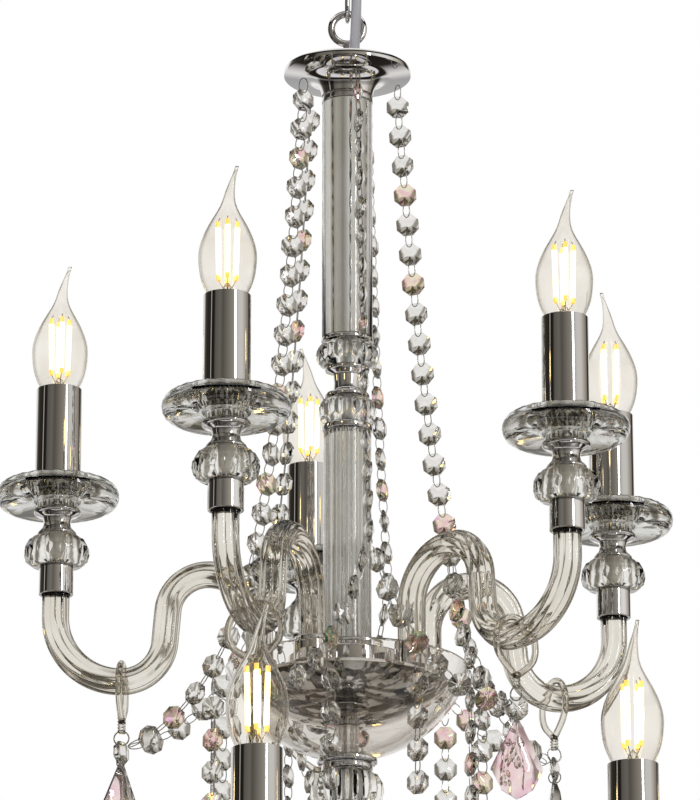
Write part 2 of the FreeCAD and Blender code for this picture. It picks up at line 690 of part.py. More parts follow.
def make_lamp_holders():
    """Lamp holder inside the candle tube, on the threaded tail that clamps the whole candle to its ferrule."""
    body = turned("holder_master", [
        (ZERO, ferruleTop - d.ferruleRoof), (d.tailRadius, ferruleTop - d.ferruleRoof), (d.tailRadius, panTop),
        (d.holderRadius, panTop), (d.holderRadius, -d.holderTop), (d.holderBore, -d.holderTop),
        (d.holderBore, -(d.holderTop + d.holderDepth)), (ZERO, -(d.holderTop + d.holderDepth))])
    DOC.recompute()
    all_lights("lamp_holders", solid_in(body))


def bulb_envelope():
    """Flame-shaped glass with a flat table for each run; its tip is drawn over to one side."""
    high = d.bulbHeight + d.capTop
    shape = [(0, 0.58, 0), (0.064, 0.7, 0), (0.18, 0.93, 0), (0.33, 1, 0), (0.46, 0.87, 0), (0.575, 0.65, 0),
             (0.7, 0.31, 0.3), (0.8, 0.19, 1.1), (0.885, 0.12, 2.8), (1, 0.05, 5.8)]
    return faceted([(d.bulbRadius * wide, high * up - d.capTop, 0, aside) for up, wide, aside in shape])


def make_bulbs():
    """Screw-in candle bulbs: glass and metal cap, one node each because each one turns in its holder."""
    foot = -(d.capTop + d.capLength)
    cap = faceted([(d.capRadius * 0.45, foot, 0), (d.capRadius, foot + d.capLength * 0.14, 0),
                   (d.capRadius, -d.capTop, 0)])
    glass = bulb_envelope()
    places = upper_places(d.upperReach) + lower_places(d.lowerReach)
    for number_of, place in enumerate(places, 1):
        node_from("bulb_%02d" % number_of, [placed(glass, place), placed(cap, place)])


# ---------------------------------------------------------------- glass arms
def arm_path(foot, reach, arch, shoulder, dip, sweep, rise, crown, start, end):
    """Centre line of an arm, in its own upright plane: leg, arch, shoulder, straight, dip, sweep, riser.

    Where the room between the arch and the sweep is short, the shoulder and the dip are turned tighter to fit it.
    """
    across, fall = reach - sweep - foot - arch, crown + end - rise - sweep
    if fall < 0:
        fit = min(1, 0.98 * (across ** 2 + fall ** 2) / (2 * -fall * (shoulder + dip)))
        shoulder, dip = shoulder * fit, dip * fit
    arch_centre = Vector(foot + arch, 0, -crown - arch)
    shoulder_centre = Vector(foot + arch, 0, -crown - shoulder)
    sweep_centre = Vector(reach - sweep, 0, end - rise)
    dip_centre = Vector(reach - sweep, 0, end - rise - sweep + dip)
    between = dip_centre - shoulder_centre
    fall = math.degrees(math.atan2(-between.z, between.x))
    cross = math.degrees(math.asin((shoulder + dip) / between.Length))
    lean = 90 - fall - cross                      # the straight's lean from upright
    leave, land = lean, 180 + lean
    out = Vector(math.cos(math.radians(leave)), 0, math.sin(math.radians(leave)))
    return [
        line(Vector(foot, 0, start), Vector(foot, 0, arch_centre.z)), arc(arch_centre, arch, 180, 90),
        arc(shoulder_centre, shoulder, 90, leave), line(shoulder_centre + out * shoulder, dip_centre - out * dip),
        arc(dip_centre, dip, land, 270), arc(sweep_centre, sweep, 270, 360),
        line(Vector(reach, 0, sweep_centre.z), Vector(reach, 0, end))]


def glass_arm(path, foot, start):
    """A fluted glass rod along the path."""
    section = polygon_section(Vector(foot, 0, start), Vector(1, 0, 0), Vector(0, 1, 0), d.armRadius.value, ARM_SIDES)
    return swept(path, section)


def arm_end():
    """Level of a glass arm's upper end, inside its ferrule."""
    return (ferruleTop - d.ferruleRoof - d.fitGap).value


def make_arms():
    seat = d.footFloor.value + d.fitGap.value
    start, foot = plateTop.value + seat, d.upperFoot.value
    path = arm_path(foot, d.upperReach.value, d.upperArch.value, d.upperShoulder.value, d.upperDip.value,
                    d.upperSweep.value, d.upperRise.value, d.upperCrown.value, start, arm_end())
    arm = glass_arm(path, foot, start)
    node_from("upper_arms", [placed(arm, place) for place in upper_places(ZERO)])
    start, foot = lowPlateTop.value - d.lowerRimLevel.value + seat, d.lowerFoot.value
    path = arm_path(foot, d.lowerReach.value, d.lowerArch.value, d.lowerShoulder.value, d.lowerDip.value,
                    d.lowerSweep.value, d.lowerRise.value, d.lowerCrown.value, start, arm_end())
    arm = glass_arm(path, foot, start)
    node_from("lower_arms", [placed(arm, place) for place in lower_places(ZERO)])


def make_arm_feet():
    """Chrome cups on the arm plates, one under each glass arm."""
    inner = d.armRadius + d.fitGap * 1.5
    body = turned("foot_master", [
        (ZERO, ZERO), (d.ferruleRadius, ZERO), (d.ferruleRadius, d.footHeight), (inner, d.footHeight),
        (inner, d.footFloor), (ZERO, d.footFloor)])
    DOC.recompute()
    cup = solid_in(body)
    upper = [standing_at(d.upperFoot.value, angle, rim.value + plateTop.value) for angle in UPPER_ANGLES]
    lower = [standing_at(d.lowerFoot.value, angle, rim.value + lowPlateTop.value) for angle in lower_angles()]
    node_from("arm_feet", [placed(cup, place) for place in upper + lower])


# ---------------------------------------------------------------- crystal dressing
# a strand's way down from the top disc, as (radius from the axis, level); its last bead is the fork
STRAND_ROUTE = ((34.3, 195), (37, 160), (42, 95), (48, 30), (56, -45), (68, -122))
# a branch's way from the fork to the bead under an arm's loop, with the handles that bend it: (radius, level, turn)
FORK_HANDLE = (74, -186, 9.5)       # the turn is away from the strand, towards the arm
ARM_HANDLE = (107, -243, 9.0)       # the turn is away from the arm, back towards the strand


def at_level(radius, angle, level):
    """Point at a radius and an angle, at a level counted from the rim of the upper candle tubes."""
    return outward(angle) * radius + Vector(0, 0, level + rim.value)


def bead(place, upper, edge, normal):
    """A cut bead at a place, with its link reaching up to the edge of what is above it.

    The link points to the upper place and stops a fit gap before the edge, a distance from that place.
    """
    corner = d.beadAcross.value / 2 / math.cos(math.pi / 8)
    half = d.beadThickness.value / 2
    angles = [math.pi * (k + 0.5) / 4 for k in range(8)]
    outline = [Vector(corner * math.cos(a), 0, corner * math.sin(a)) for a in angles]
    faces = []
    for first, second in zip(outline, outline[1:] + outline[:1]):
        faces.append(face_of([first, second, Vector(0, -half, 0)]))
        faces.append(face_of([second, first, Vector(0, half, 0)]))
    wide, thick = d.linkPlateWidth.value, d.linkPlateThickness.value
    start = d.beadAcross.value / 2 - 1
    length = (upper - place).Length - edge - d.fitGap.value - start
    link = Part.makeBox(length, thick, wide, Vector(start, -thick / 2, -wide / 2))
    return placed(solid_of(faces).fuse(link).removeSplitter(), lying(place, upper - place, normal))


def lying(place, along, normal):
    """Placement with +X along a direction and +Y as near to the normal as that leaves it."""
    along = Vector(along).normalize()
    face = (normal - along * normal.dot(along)).normalize()
    return FreeCAD.Placement(place, FreeCAD.Rotation(along, face, along.cross(face), "XYZ"))


def edge_of_bead(axis, direction):
    """How far a bead's outline is from its middle in a direction, with room for the corners of a link's end."""
    turn = math.pi / 4
    off = (axis.getAngle(direction) + turn / 2) % turn - turn / 2
    return d.beadAcross.value / 2 / math.cos(off) + d.linkPlateWidth.value / 4 * abs(math.tan(off))


def chain_of_beads(places, normals, top_edge):
    """Beads at all places but the first, which is what they hang from. Each one is linked to the one above it."""
    made = []
    edge = top_edge
    for k in range(1, len(places)):
        made.append(bead(places[k], places[k - 1], edge, normals[k]))
        if k + 1 < len(places):
            edge = edge_of_bead(places[k - 1] - places[k], places[k + 1] - places[k])
    return made


def even_places(curve):
    """Points a bead pitch apart along a curve, from its start to its end."""
    edge = curve.toShape()
    count = round(edge.Length / d.beadPitch.value)
    steps = [edge.Length * k / count for k in range(count + 1)]
    return [edge.valueAt(edge.getParameterByLength(step)) for step in steps]


def main_strand(angle):
    curve = Part.BSplineCurve()
    curve.interpolate([at_level(radius, angle, level) for radius, level in STRAND_ROUTE])
    places = even_places(curve)
    under_disc = places[0] + Vector(0, 0, d.discBottomLevel.value - d.strandSeat.value - STRAND_ROUTE[0][1])
    return [under_disc] + places


def branch_places(angle, arm_angle):
    side = 1 if arm_angle > angle else -1
    radius, level = STRAND_ROUTE[-1]
    curve = Part.BezierCurve()
    curve.setPoles([
        at_level(radius, angle, level), at_level(FORK_HANDLE[0], angle + side * FORK_HANDLE[2], FORK_HANDLE[1]),
        at_level(ARM_HANDLE[0], arm_angle - side * ARM_HANDLE[2], ARM_HANDLE[1]),
        at_level(loop_radius(), arm_angle, loop_bead_level())])
    return even_places(curve)


def turning_normals(places, angle):
    """From broadside along the strand to square across the branch, bead by bead."""
    across = (places[-1] - places[0]).cross(Vector(0, 0, 1)).normalize()
    first = sideways(angle)
    across = across if across.dot(first) > 0 else -across
    shares = [min(k / 3.0, 1) for k in range(len(places))]
    return [(first * (1 - share) + across * share).normalize() for share in shares]


def make_bead_strands():
    """Strands from the top disc, each forking into two branches that end under the arms on either side of it."""
    strands, drops = [], []
    count = int(d.strandCount.value)
    arms = sorted(angle % 360 for angle in UPPER_ANGLES)
    for k in range(count):
        angle = d.strandFirstAngle.value + 360.0 / count * k
        places = main_strand(angle)
        strands += chain_of_beads(places, [sideways(angle)] * len(places), 0)
        before = arms[k - 1] if k else arms[-1] - 360
        for arm_angle in (before, arms[k]):
            add_branch(places, angle, arm_angle, strands, drops)
    node_from("bead_strands", strands)
    node_from("strand_drops", drops)


def add_branch(strand, angle, arm_angle, strands, drops):
    """One branch and the short string that drops from the middle of it."""
    places = branch_places(angle, arm_angle)
    normals = turning_normals(places, angle)
    edge = edge_of_bead(strand[-2] - strand[-1], places[1] - places[0]) - d.forkReach.value
    strands += chain_of_beads(places[:-1], normals, edge)
    hung = len(places) // 2
    down = Vector(0, 0, -d.beadPitch.value)
    first = places[hung] + down + Vector(0, 0, -d.dropSpace.value)
    string = [places[hung]] + [first + down * step for step in range(int(d.dropBeads.value))]
    edge = edge_of_bead(places[hung - 1] - places[hung], down)
    drops += chain_of_beads(string, [normals[hung]] * len(string), edge)


def teardrop_loop():
    """Glass loop over an arm: round at the top, drawn to a tip and a short neck below. Plane YZ, top bar at z = 0."""
    radius = (d.armRadius + d.loopWire + d.loopSpace).value
    tip = d.loopTip.value
    drop = d.loopHeight.value - 2 * d.loopWire.value
    top, low = Vector(0, 0, -radius), Vector(0, 0, -drop + tip)
    lean = math.degrees(math.asin((radius - tip) / (low - top).Length))

    def at(centre, size, angle):
        return centre + Vector(size * math.cos(math.radians(angle)), 0, size * math.sin(math.radians(angle)))

    path = [arc(top, radius, -lean, 180 + lean), line(at(top, radius, 180 + lean), at(low, tip, 180 + lean)),
            arc(low, tip, 180 + lean, 360 - lean), line(at(low, tip, 360 - lean), at(top, radius, -lean))]
    along = at(Vector(0, 0, 0), 1, -lean)
    section = polygon_section(at(top, radius, -lean), along, Vector(0, 1, 0), d.loopWire.value, ARM_SIDES)
    neck = Part.Face(polygon_section(Vector(0, 0, -drop), Vector(1, 0, 0), Vector(0, 1, 0),
                                     d.loopWire.value, ARM_SIDES)).extrude(
                                         Vector(0, 0, -d.loopWire.value - d.loopNeck.value))
    loop = swept(path, section).fuse(neck).removeSplitter()
    loop.rotate(Vector(0, 0, 0), Vector(0, 0, 1), 90)
    return loop


def loop_radius():
    """Distance of an upper arm's lowest point, where its loop hangs, from the axis."""
    return d.upperReach.value - d.upperSweep.value


def loop_level():
    """Level of a loop's top bar, resting on the arm where it is lowest."""
    dip = arm_end() - d.upperRise.value - d.upperSweep.value
    return dip + d.armRadius.value + d.loopWire.value + d.fitGap.value


def loop_foot_level():
    return loop_level() + d.loopWire.value - d.loopHeight.value - d.loopNeck.value


def loop_bead_level():
    return loop_foot_level() - d.loopBeadDrop.value


def pendant_level():
    """Level of the point that a pendant swings about, just under its bead."""
    return loop_bead_level() - d.beadAcross.value / 2 - d.pendantGap.value


def make_arm_loops():
    """A glass loop over each upper arm, with the bead that the branches run to and the pendant hangs from."""
    loop = teardrop_loop()
    shapes = []
    for angle in UPPER_ANGLES:
        shapes.append(placed(loop, standing_at(loop_radius(), angle, rim.value + loop_level())))
        foot = at_level(loop_radius(), angle, loop_foot_level())
        middle = at_level(loop_radius(), angle, loop_bead_level())
        shapes.append(bead(middle, foot, 0, outward(angle + d.pendantTurn.value)))
    node_from("arm_loops", shapes)


def pendant():
    """Kite-shaped cut drop on a flat link. Its faces look along Y and it swings about the X axis through z = 0."""
    half, long_side, thick = d.pendantWidth.value / 2, d.pendantLength.value, d.pendantThickness.value / 2
    top = -d.pendantLink.value
    shoulder, cheek = top - long_side * 0.62, top - long_side * 0.88
    tip = d.linkPlateWidth.value
    outline = [Vector(-tip, 0, top), Vector(tip, 0, top), Vector(half, 0, shoulder), Vector(half * 0.6, 0, cheek),
               Vector(0, 0, top - long_side), Vector(-half * 0.6, 0, cheek), Vector(-half, 0, shoulder)]
    faces = []
    for first, second in zip(outline, outline[1:] + outline[:1]):
        faces.append(face_of([first, second, Vector(0, -thick, shoulder)]))
        faces.append(face_of([second, first, Vector(0, thick, shoulder)]))
    wide, thin = d.linkPlateWidth.value, d.linkPlateThickness.value
    link = Part.makeBox(wide, thin, d.pendantLink.value + 3, Vector(-wide / 2, -thin / 2, top - 3))
    return solid_of(faces).fuse(link).removeSplitter()


def make_pendants():
    drop = pendant()
    for position, angle in enumerate(UPPER_ANGLES, 1):
        place = FreeCAD.Placement(at_level(loop_radius(), angle, pendant_level()),
                                  FreeCAD.Rotation(Vector(0, 0, 1), angle + d.pendantTurn.value))
        node_from("pendant_%d" % position, [placed(drop, place)])


# ---------------------------------------------------------------- build, check and write
def check_document():
    DOC.recompute()
    for item in DOC.Objects:
        if "Invalid" in item.State or "Error" in item.State:
            raise RuntimeError("%s did not build: %s" % (item.Label, item.State))
    for name, item in NODES.items():
        if item.Shape.isNull() or not item.Shape.isValid() or not item.Shape.Solids:
            raise RuntimeError("%s has no valid solid" % name)


def write_parts():
    os.makedirs("parts", exist_ok=True)
    for name, item in NODES.items():
        item.Label = name + "_part" if item.Label != name else name
        shape = item.Shape
        shape.exportStep("parts/%s.step" % name)
    print("nodes", len(NODES), "solids", sum(len(item.Shape.Solids) for item in NODES.values()))


for make in (make_fixing_plate, make_lock_nut, make_canopy, make_canopy_eye, make_chain, make_cable,
             make_top_eye, make_top_disc, make_column_tubes, make_column_rings, make_column_balls, make_waist,
             make_hubs, make_bowls, make_finial, make_tie_rod,
             make_candle_tubes, make_drip_pans, make_spools, make_gems, make_ferrules, make_lamp_holders,
             make_bulbs, make_arms, make_arm_feet,
             make_bead_strands, make_arm_loops, make_pendants):
    make()
check_document()
write_parts()
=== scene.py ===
# %% [markdown]
# # A crystal chandelier with two tiers of glass arms
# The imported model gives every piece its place. This lesson puts a finished surface where each plain solid is:
# turned chrome, drawn glass tube, cut crystal and small beads on wire. All sizes are in millimetres until a mesh is made.

# %% Load the frame
import math
import bpy
import numpy as np
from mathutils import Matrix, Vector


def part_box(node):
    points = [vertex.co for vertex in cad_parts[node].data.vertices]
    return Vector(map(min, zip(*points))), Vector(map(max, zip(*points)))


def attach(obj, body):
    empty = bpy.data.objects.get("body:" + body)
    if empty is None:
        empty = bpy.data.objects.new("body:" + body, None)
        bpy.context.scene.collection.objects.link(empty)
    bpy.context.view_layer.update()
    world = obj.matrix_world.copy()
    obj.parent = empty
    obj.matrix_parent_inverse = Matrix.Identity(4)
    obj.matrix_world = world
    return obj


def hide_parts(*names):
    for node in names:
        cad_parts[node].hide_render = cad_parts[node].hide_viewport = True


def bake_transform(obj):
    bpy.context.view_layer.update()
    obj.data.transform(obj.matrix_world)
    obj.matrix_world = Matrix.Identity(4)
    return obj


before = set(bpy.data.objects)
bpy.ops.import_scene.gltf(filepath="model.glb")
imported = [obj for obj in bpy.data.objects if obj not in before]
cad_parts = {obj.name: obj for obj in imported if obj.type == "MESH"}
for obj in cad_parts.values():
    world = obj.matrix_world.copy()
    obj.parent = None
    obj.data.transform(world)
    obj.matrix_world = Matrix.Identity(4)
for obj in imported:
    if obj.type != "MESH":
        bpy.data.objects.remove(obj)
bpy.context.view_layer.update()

MM = 0.001

# %% [markdown]
# ## Where things are
# On the real lamp all the heights follow from two rings of candles. The upper candle tubes end at one level and the lower
# ones at another, so both are read from the frame, and each light is then drawn downwards from its own rim.

# %% The two rims and the arms' directions
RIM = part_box("upper_candle_tubes")[1][2] / MM
LOW_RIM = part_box("lower_candle_tubes")[1][2] / MM
UPPER_ANGLES = np.array([336.8, 46.3, 112.4, 188.0, 265.1])     # seen from above, 0 to the front
LOWER_ANGLES = -8.3 + 36.0 * np.arange(10)
UPPER_REACH, LOWER_REACH = 193.7, 364.3
TIERS = (("upper", UPPER_ANGLES, UPPER_REACH, RIM), ("lower", LOWER_ANGLES, LOWER_REACH, LOW_RIM))
BORE = 5.3                                                       # the hole for the tie rod
print("rims at", round(RIM, 1), round(LOW_RIM, 1))

# %% [markdown]
# ## A surface as a grid of points
# A turned cup, a bent arm and a wire ring are all the same thing to the computer: a grid of points over two parameters.
# Blender's own primitives and modifiers could make most of them, but a grid says the form in one formula. The grid is
# woven into faces with whole arrays, and points that coincide are made one, which closes seams and poles.

# %% Grids to faces
def woven(grid):
    """A shape from points (rows, columns, 3). Corners (i, j), (i, j+1), (i+1, j+1) and (i+1, j) make each face.

    Points in the same place become one, so a face at a pole has two equal corners and is kept as a triangle.
    """
    points = grid.reshape(-1, 3)
    _, first, corner = np.unique(np.round(points, 4) + 0.0, axis=0, return_index=True, return_inverse=True)
    corner = corner.reshape(grid.shape[:2])
    cells = np.stack([corner[:-1, :-1], corner[:-1, 1:], corner[1:, 1:], corner[1:, :-1]], axis=-1).reshape(-1, 4)
    fresh = cells != np.roll(cells, 1, axis=1)
    count = fresh.sum(axis=1)
    return points[first], [cells[count == 4], cells[count == 3][fresh[count == 3]].reshape(-1, 3)]


def joined(*shapes):
    """Several shapes as one: each one's corner numbers are moved past the points that come before it."""
    starts = np.cumsum([0] + [len(points) for points, _ in shapes])
    return (np.concatenate([points for points, _ in shapes]),
            [faces + start for (_, groups), start in zip(shapes, starts) for faces in groups])


def stamped(shape, turns, feet):
    """Copies of a shape: each point goes to turn · point + foot, with one 3x3 turn and one foot a copy."""
    points, groups = shape
    copies = np.einsum("cij,nj->cni", turns, points) + np.asarray(feet)[:, None]
    steps = np.arange(len(turns))[:, None, None] * len(points)
    return copies.reshape(-1, 3), [(faces[None] + steps).reshape(-1, faces.shape[1]) for faces in groups]


def directions(angles):
    """Unit vectors at angles from the front: outward (sin a, -cos a, 0), sideways (cos a, sin a, 0) and up."""
    a = np.radians(np.atleast_1d(angles).astype(float))
    zero = np.zeros_like(a)
    return (np.stack([np.sin(a), -np.cos(a), zero], -1), np.stack([np.cos(a), np.sin(a), zero], -1),
            np.stack([zero, zero, zero + 1], -1))


def standing(shape, radius, angles, level):
    """Upright copies at a radius and level, with the shape's own X turned outward."""
    out, side, up = directions(angles)
    return stamped(shape, np.stack([out, side, up], axis=-1), out * radius + up * level)

# %% [markdown]
# ## A piece
# A piece is one mesh with one or more finishes. It rides on a body of the frame, stands for the plain solids it replaces,
# and keeps its object at the origin. Cut crystal is shaded flat, facet by facet; turned and drawn pieces are shaded
# smooth, with a hard line kept wherever two faces meet at more than the crease angle.

# %% Shapes to a Blender object
pieces = {}


def piece(name, body, parts, nodes=(), crease=32):
    """One object from parts of (shape, look, smooth). Points turn from millimetres to metres here."""
    points, groups = joined(*[shape for shape, _, _ in parts])
    counts = [[len(faces) for faces in shape[1]] for shape, _, _ in parts]
    sizes = np.concatenate([np.full(len(faces), faces.shape[1]) for faces in groups])
    looks = list(dict.fromkeys(look for _, look, _ in parts))
    mesh = bpy.data.meshes.new(name)
    mesh.vertices.add(len(points))
    mesh.loops.add(int(sizes.sum()))
    mesh.polygons.add(len(sizes))
    mesh.vertices.foreach_set("co", (points * MM).ravel())
    mesh.loops.foreach_set("vertex_index", np.concatenate([faces.ravel() for faces in groups]))
    mesh.polygons.foreach_set("loop_start", np.cumsum(sizes) - sizes)
    for look in looks:
        mesh.materials.append(look)
    spread = [sum(count) for count in counts]
    mesh.polygons.foreach_set("material_index", np.repeat([looks.index(look) for _, look, _ in parts], spread))
    mesh.polygons.foreach_set("use_smooth", np.repeat([smooth for _, _, smooth in parts], spread))
    mesh.update(calc_edges=True)
    mesh.validate()
    mesh.set_sharp_from_angle(angle=math.radians(crease))
    made = bpy.data.objects.new(name, mesh)
    bpy.context.scene.collection.objects.link(made)
    if body:
        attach(made, body)
    if nodes:
        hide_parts(*nodes)
    pieces[name] = int((sizes - 2).sum())
    print(name, pieces[name], "triangles")
    return made

# %% [markdown]
# ## Turned, drawn and cut
# Three ways of working cover the whole lamp. Metal is turned: a section goes round an axis. Glass tube and wire are
# drawn: a section is carried along a path. Crystal is cut: rings of points, each turned half a step from the last, are
# joined by four-cornered facets, as the wheel leaves them.

# %% Turned: a section round the axis
def unit(vectors):
    return vectors / np.maximum(np.linalg.norm(vectors, axis=-1, keepdims=True), 1e-9)


def softened(corners, radius, runs=4):
    """A closed section with its corners eased: each becomes the curve (1-t)² start + 2t(1-t) corner + t² end."""
    corners = np.asarray(corners, float)
    back, on = np.roll(corners, 1, axis=0) - corners, np.roll(corners, -1, axis=0) - corners
    room = np.minimum(np.linalg.norm(back, axis=1), np.linalg.norm(on, axis=1)) * 0.499
    reach = np.where(corners[:, 0] < 0.01, 0, np.minimum(radius, room))[:, None]
    start, end = corners + unit(back) * reach, corners + unit(on) * reach
    t = np.linspace(0, 1, runs + 1)[:, None]
    curve = (1 - t) ** 2 * start[:, None] + 2 * t * (1 - t) * corners[:, None] + t ** 2 * end[:, None]
    return curve.reshape(-1, 2)


def spun(section, steps=72, flutes=0, depth=0.0, inner=0.0):
    """A closed section (r, z), counter-clockwise, turned round the axis: (r cos t, r sin t, z).

    With flutes, a point whose radius is under inner moves in and out by depth · cos(flutes · t).
    """
    section = np.vstack([section, section[:1]])
    t = np.append(np.arange(steps), 0) * 2 * np.pi / steps
    r, z = section[:, :1], section[:, 1:]
    r = r + depth * np.cos(flutes * t) * (r < inner)
    return woven(np.stack([r * np.cos(t), r * np.sin(t), z + 0 * t], axis=-1))


def tube(outer, inner, top, foot, ease=0.3):
    return softened([(inner, foot), (outer, foot), (outer, top), (inner, top)], ease)

# %% Drawn: a section along a path
def round_section(radius, sides=16):
    """A circle of points (a, b), closed."""
    t = np.append(np.arange(sides), 0) * 2 * np.pi / sides
    return radius * np.stack([np.cos(t), np.sin(t)], axis=-1)


def carried(path, across, section, closed=False):
    """A section (a, b) along a path: path + a · (across × ahead) + b · across. Open ends shrink to a point, flat."""
    path = np.asarray(path, float)
    ahead = np.roll(path, -1, axis=0) - np.roll(path, 1, axis=0) if closed else np.gradient(path, axis=0)
    across = np.broadcast_to(np.asarray(across, float), path.shape)
    first = np.cross(across, unit(ahead))
    grid = path[:, None] + section[..., :1] * first[:, None] + section[..., 1:] * across[:, None]
    if closed:
        return woven(np.concatenate([grid, grid[:1]]))
    return woven(np.concatenate([0 * grid[:1] + path[0], grid, 0 * grid[:1] + path[-1]]))

# %% Cut: rings joined by four-cornered facets
def ring(radius, level, sides, turn=0.0):
    """Points of a level ring; turn is in steps of one side, and the radius may differ from point to point."""
    a = 2 * np.pi * (np.arange(sides) + turn) / sides
    return np.stack([radius * np.cos(a), radius * np.sin(a), level + 0 * a], axis=-1)


def bands(rings):
    """Four-cornered faces between rings that line up, in the order that a section is turned in."""
    rings = np.stack(rings)
    return woven(np.concatenate([rings, rings[:, :1]], axis=1))


def cut(rings, sides, turn=0.0):
    """Facets over rings of (radius, level), lowest first, each ring turned half a side from the one below.

    Facet k, j has its corners on ring k-1 below, on two neighbours of ring k, and on ring k+1 above. Triangles close
    the first and the last ring.
    """
    points = np.concatenate([ring(r, z, sides, turn + 0.5 * (k % 2)) for k, (r, z) in enumerate(rings)])
    rows = len(rings)
    j = np.arange(sides)
    k = np.arange(1, rows - 1)[:, None]
    shift = k % 2

    def at(row, column):
        return row * sides + column % sides

    kites = np.stack(np.broadcast_arrays(at(k - 1, j + shift), at(k, j + 1), at(k + 1, j + shift), at(k, j)), axis=-1)
    low = np.stack([at(0, j), at(0, j + 1), at(1, j)], axis=-1)
    last = rows - 1
    high = np.stack([at(last - 1, j + last % 2), at(last, j + 1), at(last, j)], axis=-1)
    return points, [kites.reshape(-1, 4), low, high]


def bored(rings, sides, bore, turn=0.0):
    """A cut form with a hole up its axis. It needs an odd number of rings, so that both ends line up."""
    (low_r, low_z), (high_r, high_z) = rings[0], rings[-1]
    hole = bands([ring(high_r, high_z, sides, turn), ring(bore, high_z, sides, turn), ring(bore, low_z, sides, turn),
                  ring(low_r, low_z, sides, turn)])
    return welded(joined(cut(rings, sides, turn), hole))


def grooved(stations, lobes, bore, groove=0.07):
    """A melon cut: level rings through (r, z), lowest first, where every other point is drawn in by the groove's share.

    The first and the last ring stay round, and a hole runs up the axis.
    """
    share = np.where(np.arange(2 * lobes) % 2, 1 - groove, 1.0)
    outside = [ring(r * (share if 0 < k < len(stations) - 1 else 1), z, 2 * lobes) for k, (r, z) in enumerate(stations)]
    hole = [ring(bore, stations[-1][1], 2 * lobes), ring(bore, stations[0][1], 2 * lobes), outside[0]]
    return bands(outside + hole)


def welded(shape):
    """The shape with its coinciding points made one."""
    points, groups = shape
    _, first, number = np.unique(np.round(points, 4) + 0.0, axis=0, return_index=True, return_inverse=True)
    return points[first], [number.reshape(-1)[faces] for faces in groups]


def tabled(rings):
    """Faces between rings, with a flat table over the first and over the last."""
    sides = len(rings[0])
    low, high = np.arange(sides)[::-1], sides + np.arange(sides)
    tables = np.concatenate([rings[0], rings[-1]]), [low[None], high[None]]
    return welded(joined(bands(rings), tables))


print("a cut form of", len(tabled([ring(1, 0, 8), ring(2, 1, 8)])[0]), "points")

# %% [markdown]
# # Finishes
# Each finish starts from the real material. Colours are written as they are seen, in sRGB hex, and one function turns
# them to the linear light that the renderer works in. One small helper adds a node with its settings and its links.

# %% Colours and nodes
def linear(colour):
    """sRGB hex to linear light: c / 12.92 when dark, else ((c + 0.055) / 1.055) to the power 2.4."""
    c = np.array([int(colour[k:k + 2], 16) for k in (1, 3, 5)]) / 255
    return (*np.where(c <= 0.04045, c / 12.92, ((c + 0.055) / 1.055) ** 2.4).tolist(), 1.0)


def add(tree, kind, inputs=(), stops=(), **settings):
    """Adds a node. Each input is a value, or the output socket of another node that it is linked to.

    A colour ramp also takes its stops: pairs of a place from 0 to 1 and an sRGB hex colour.
    """
    node = tree.nodes.new(kind)
    for name, value in settings.items():
        setattr(node, name, value)
    for name, value in dict(inputs).items():
        if isinstance(value, bpy.types.NodeSocket):
            tree.links.new(value, node.inputs[name])
        else:
            node.inputs[name].default_value = value
    if stops:
        elements = node.color_ramp.elements
        while len(elements) < len(stops):
            elements.new(1.0)
        for element, (place, colour) in zip(elements, stops):
            element.position, element.color = place, linear(colour)
    return node


def finish(name, colour, **inputs):
    """A material with one shader, its constants set on the shader's own sockets, and its pattern's coordinates."""
    look = bpy.data.materials.new(name)
    look.use_nodes = True
    tree = look.node_tree
    tree.nodes.clear()
    place = add(tree, "ShaderNodeTexCoord").outputs["Object"]
    shader = add(tree, "ShaderNodeBsdfPrincipled", {"Base Color": linear(colour), **inputs})
    add(tree, "ShaderNodeOutputMaterial", {"Surface": shader.outputs["BSDF"]})
    return look, tree, place, shader


print("mid grey is", round(linear("#808080")[0], 3), "of white in linear light")

# %% [markdown]
# ## Chrome
# The metal is brass or steel, polished and plated with chromium. It is a mirror with a faintly warm grey colour, and what
# gives it life is what it reflects. Handling leaves a thin haze in patches a few centimetres wide, so the roughness moves
# a little with a soft noise. The candle tubes are a darker, smoke-toned plate.

# %% Metals
def metal(name, colour, roughness, haze, patch_mm=18.0, hammer=0.0):
    """Polished metal: the roughness runs from its value to that plus haze, over patches of a size in millimetres."""
    look, tree, place, shader = finish(name, colour, **{"Metallic": 1.0})
    cloud = add(tree, "ShaderNodeTexNoise", {"Vector": place, "Scale": 1000 / patch_mm, "Detail": 3.0}).outputs["Fac"]
    rough = add(tree, "ShaderNodeMapRange", {"Value": cloud, "To Min": roughness, "To Max": roughness + haze})
    tree.links.new(rough.outputs["Result"], shader.inputs["Roughness"])
    if hammer:
        bump = add(tree, "ShaderNodeBump", {"Height": cloud, "Strength": 1.0, "Distance": hammer * MM})
        tree.links.new(bump.outputs["Normal"], shader.inputs["Normal"])
    return look


chrome = metal("polished chromium plate", "#e4e2e1", 0.02, 0.04)
smoke_chrome = metal("smoked chromium plate", "#cdcac8", 0.02, 0.04)
core_chrome = metal("chromed steel tube", "#dfdedc", 0.03, 0.05)
steel = metal("zinc plated steel", "#b9bcc0", 0.3, 0.12, 6.0, 0.02)
silver_wire = metal("tinned steel wire", "#c4c2be", 0.2, 0.1, 2.0)
brass = metal("nickel plated brass", "#c7bfae", 0.22, 0.1, 3.0)
print("metals", [look.name for look in bpy.data.materials])

# %% [markdown]
# ## Glass and crystal
# Lead crystal is clear, heavy and bright, so it has a high refractive index and flat facets with no texture of their own.
# Drawn tube is soda glass: its fire-polished skin is never quite even, which bends what is seen through it in long soft
# streaks. Some beads and drops carry a thin metal-oxide coat that turns them pink and gold as they are tilted.

# %% Clear glasses
WHITE = "#ffffff"


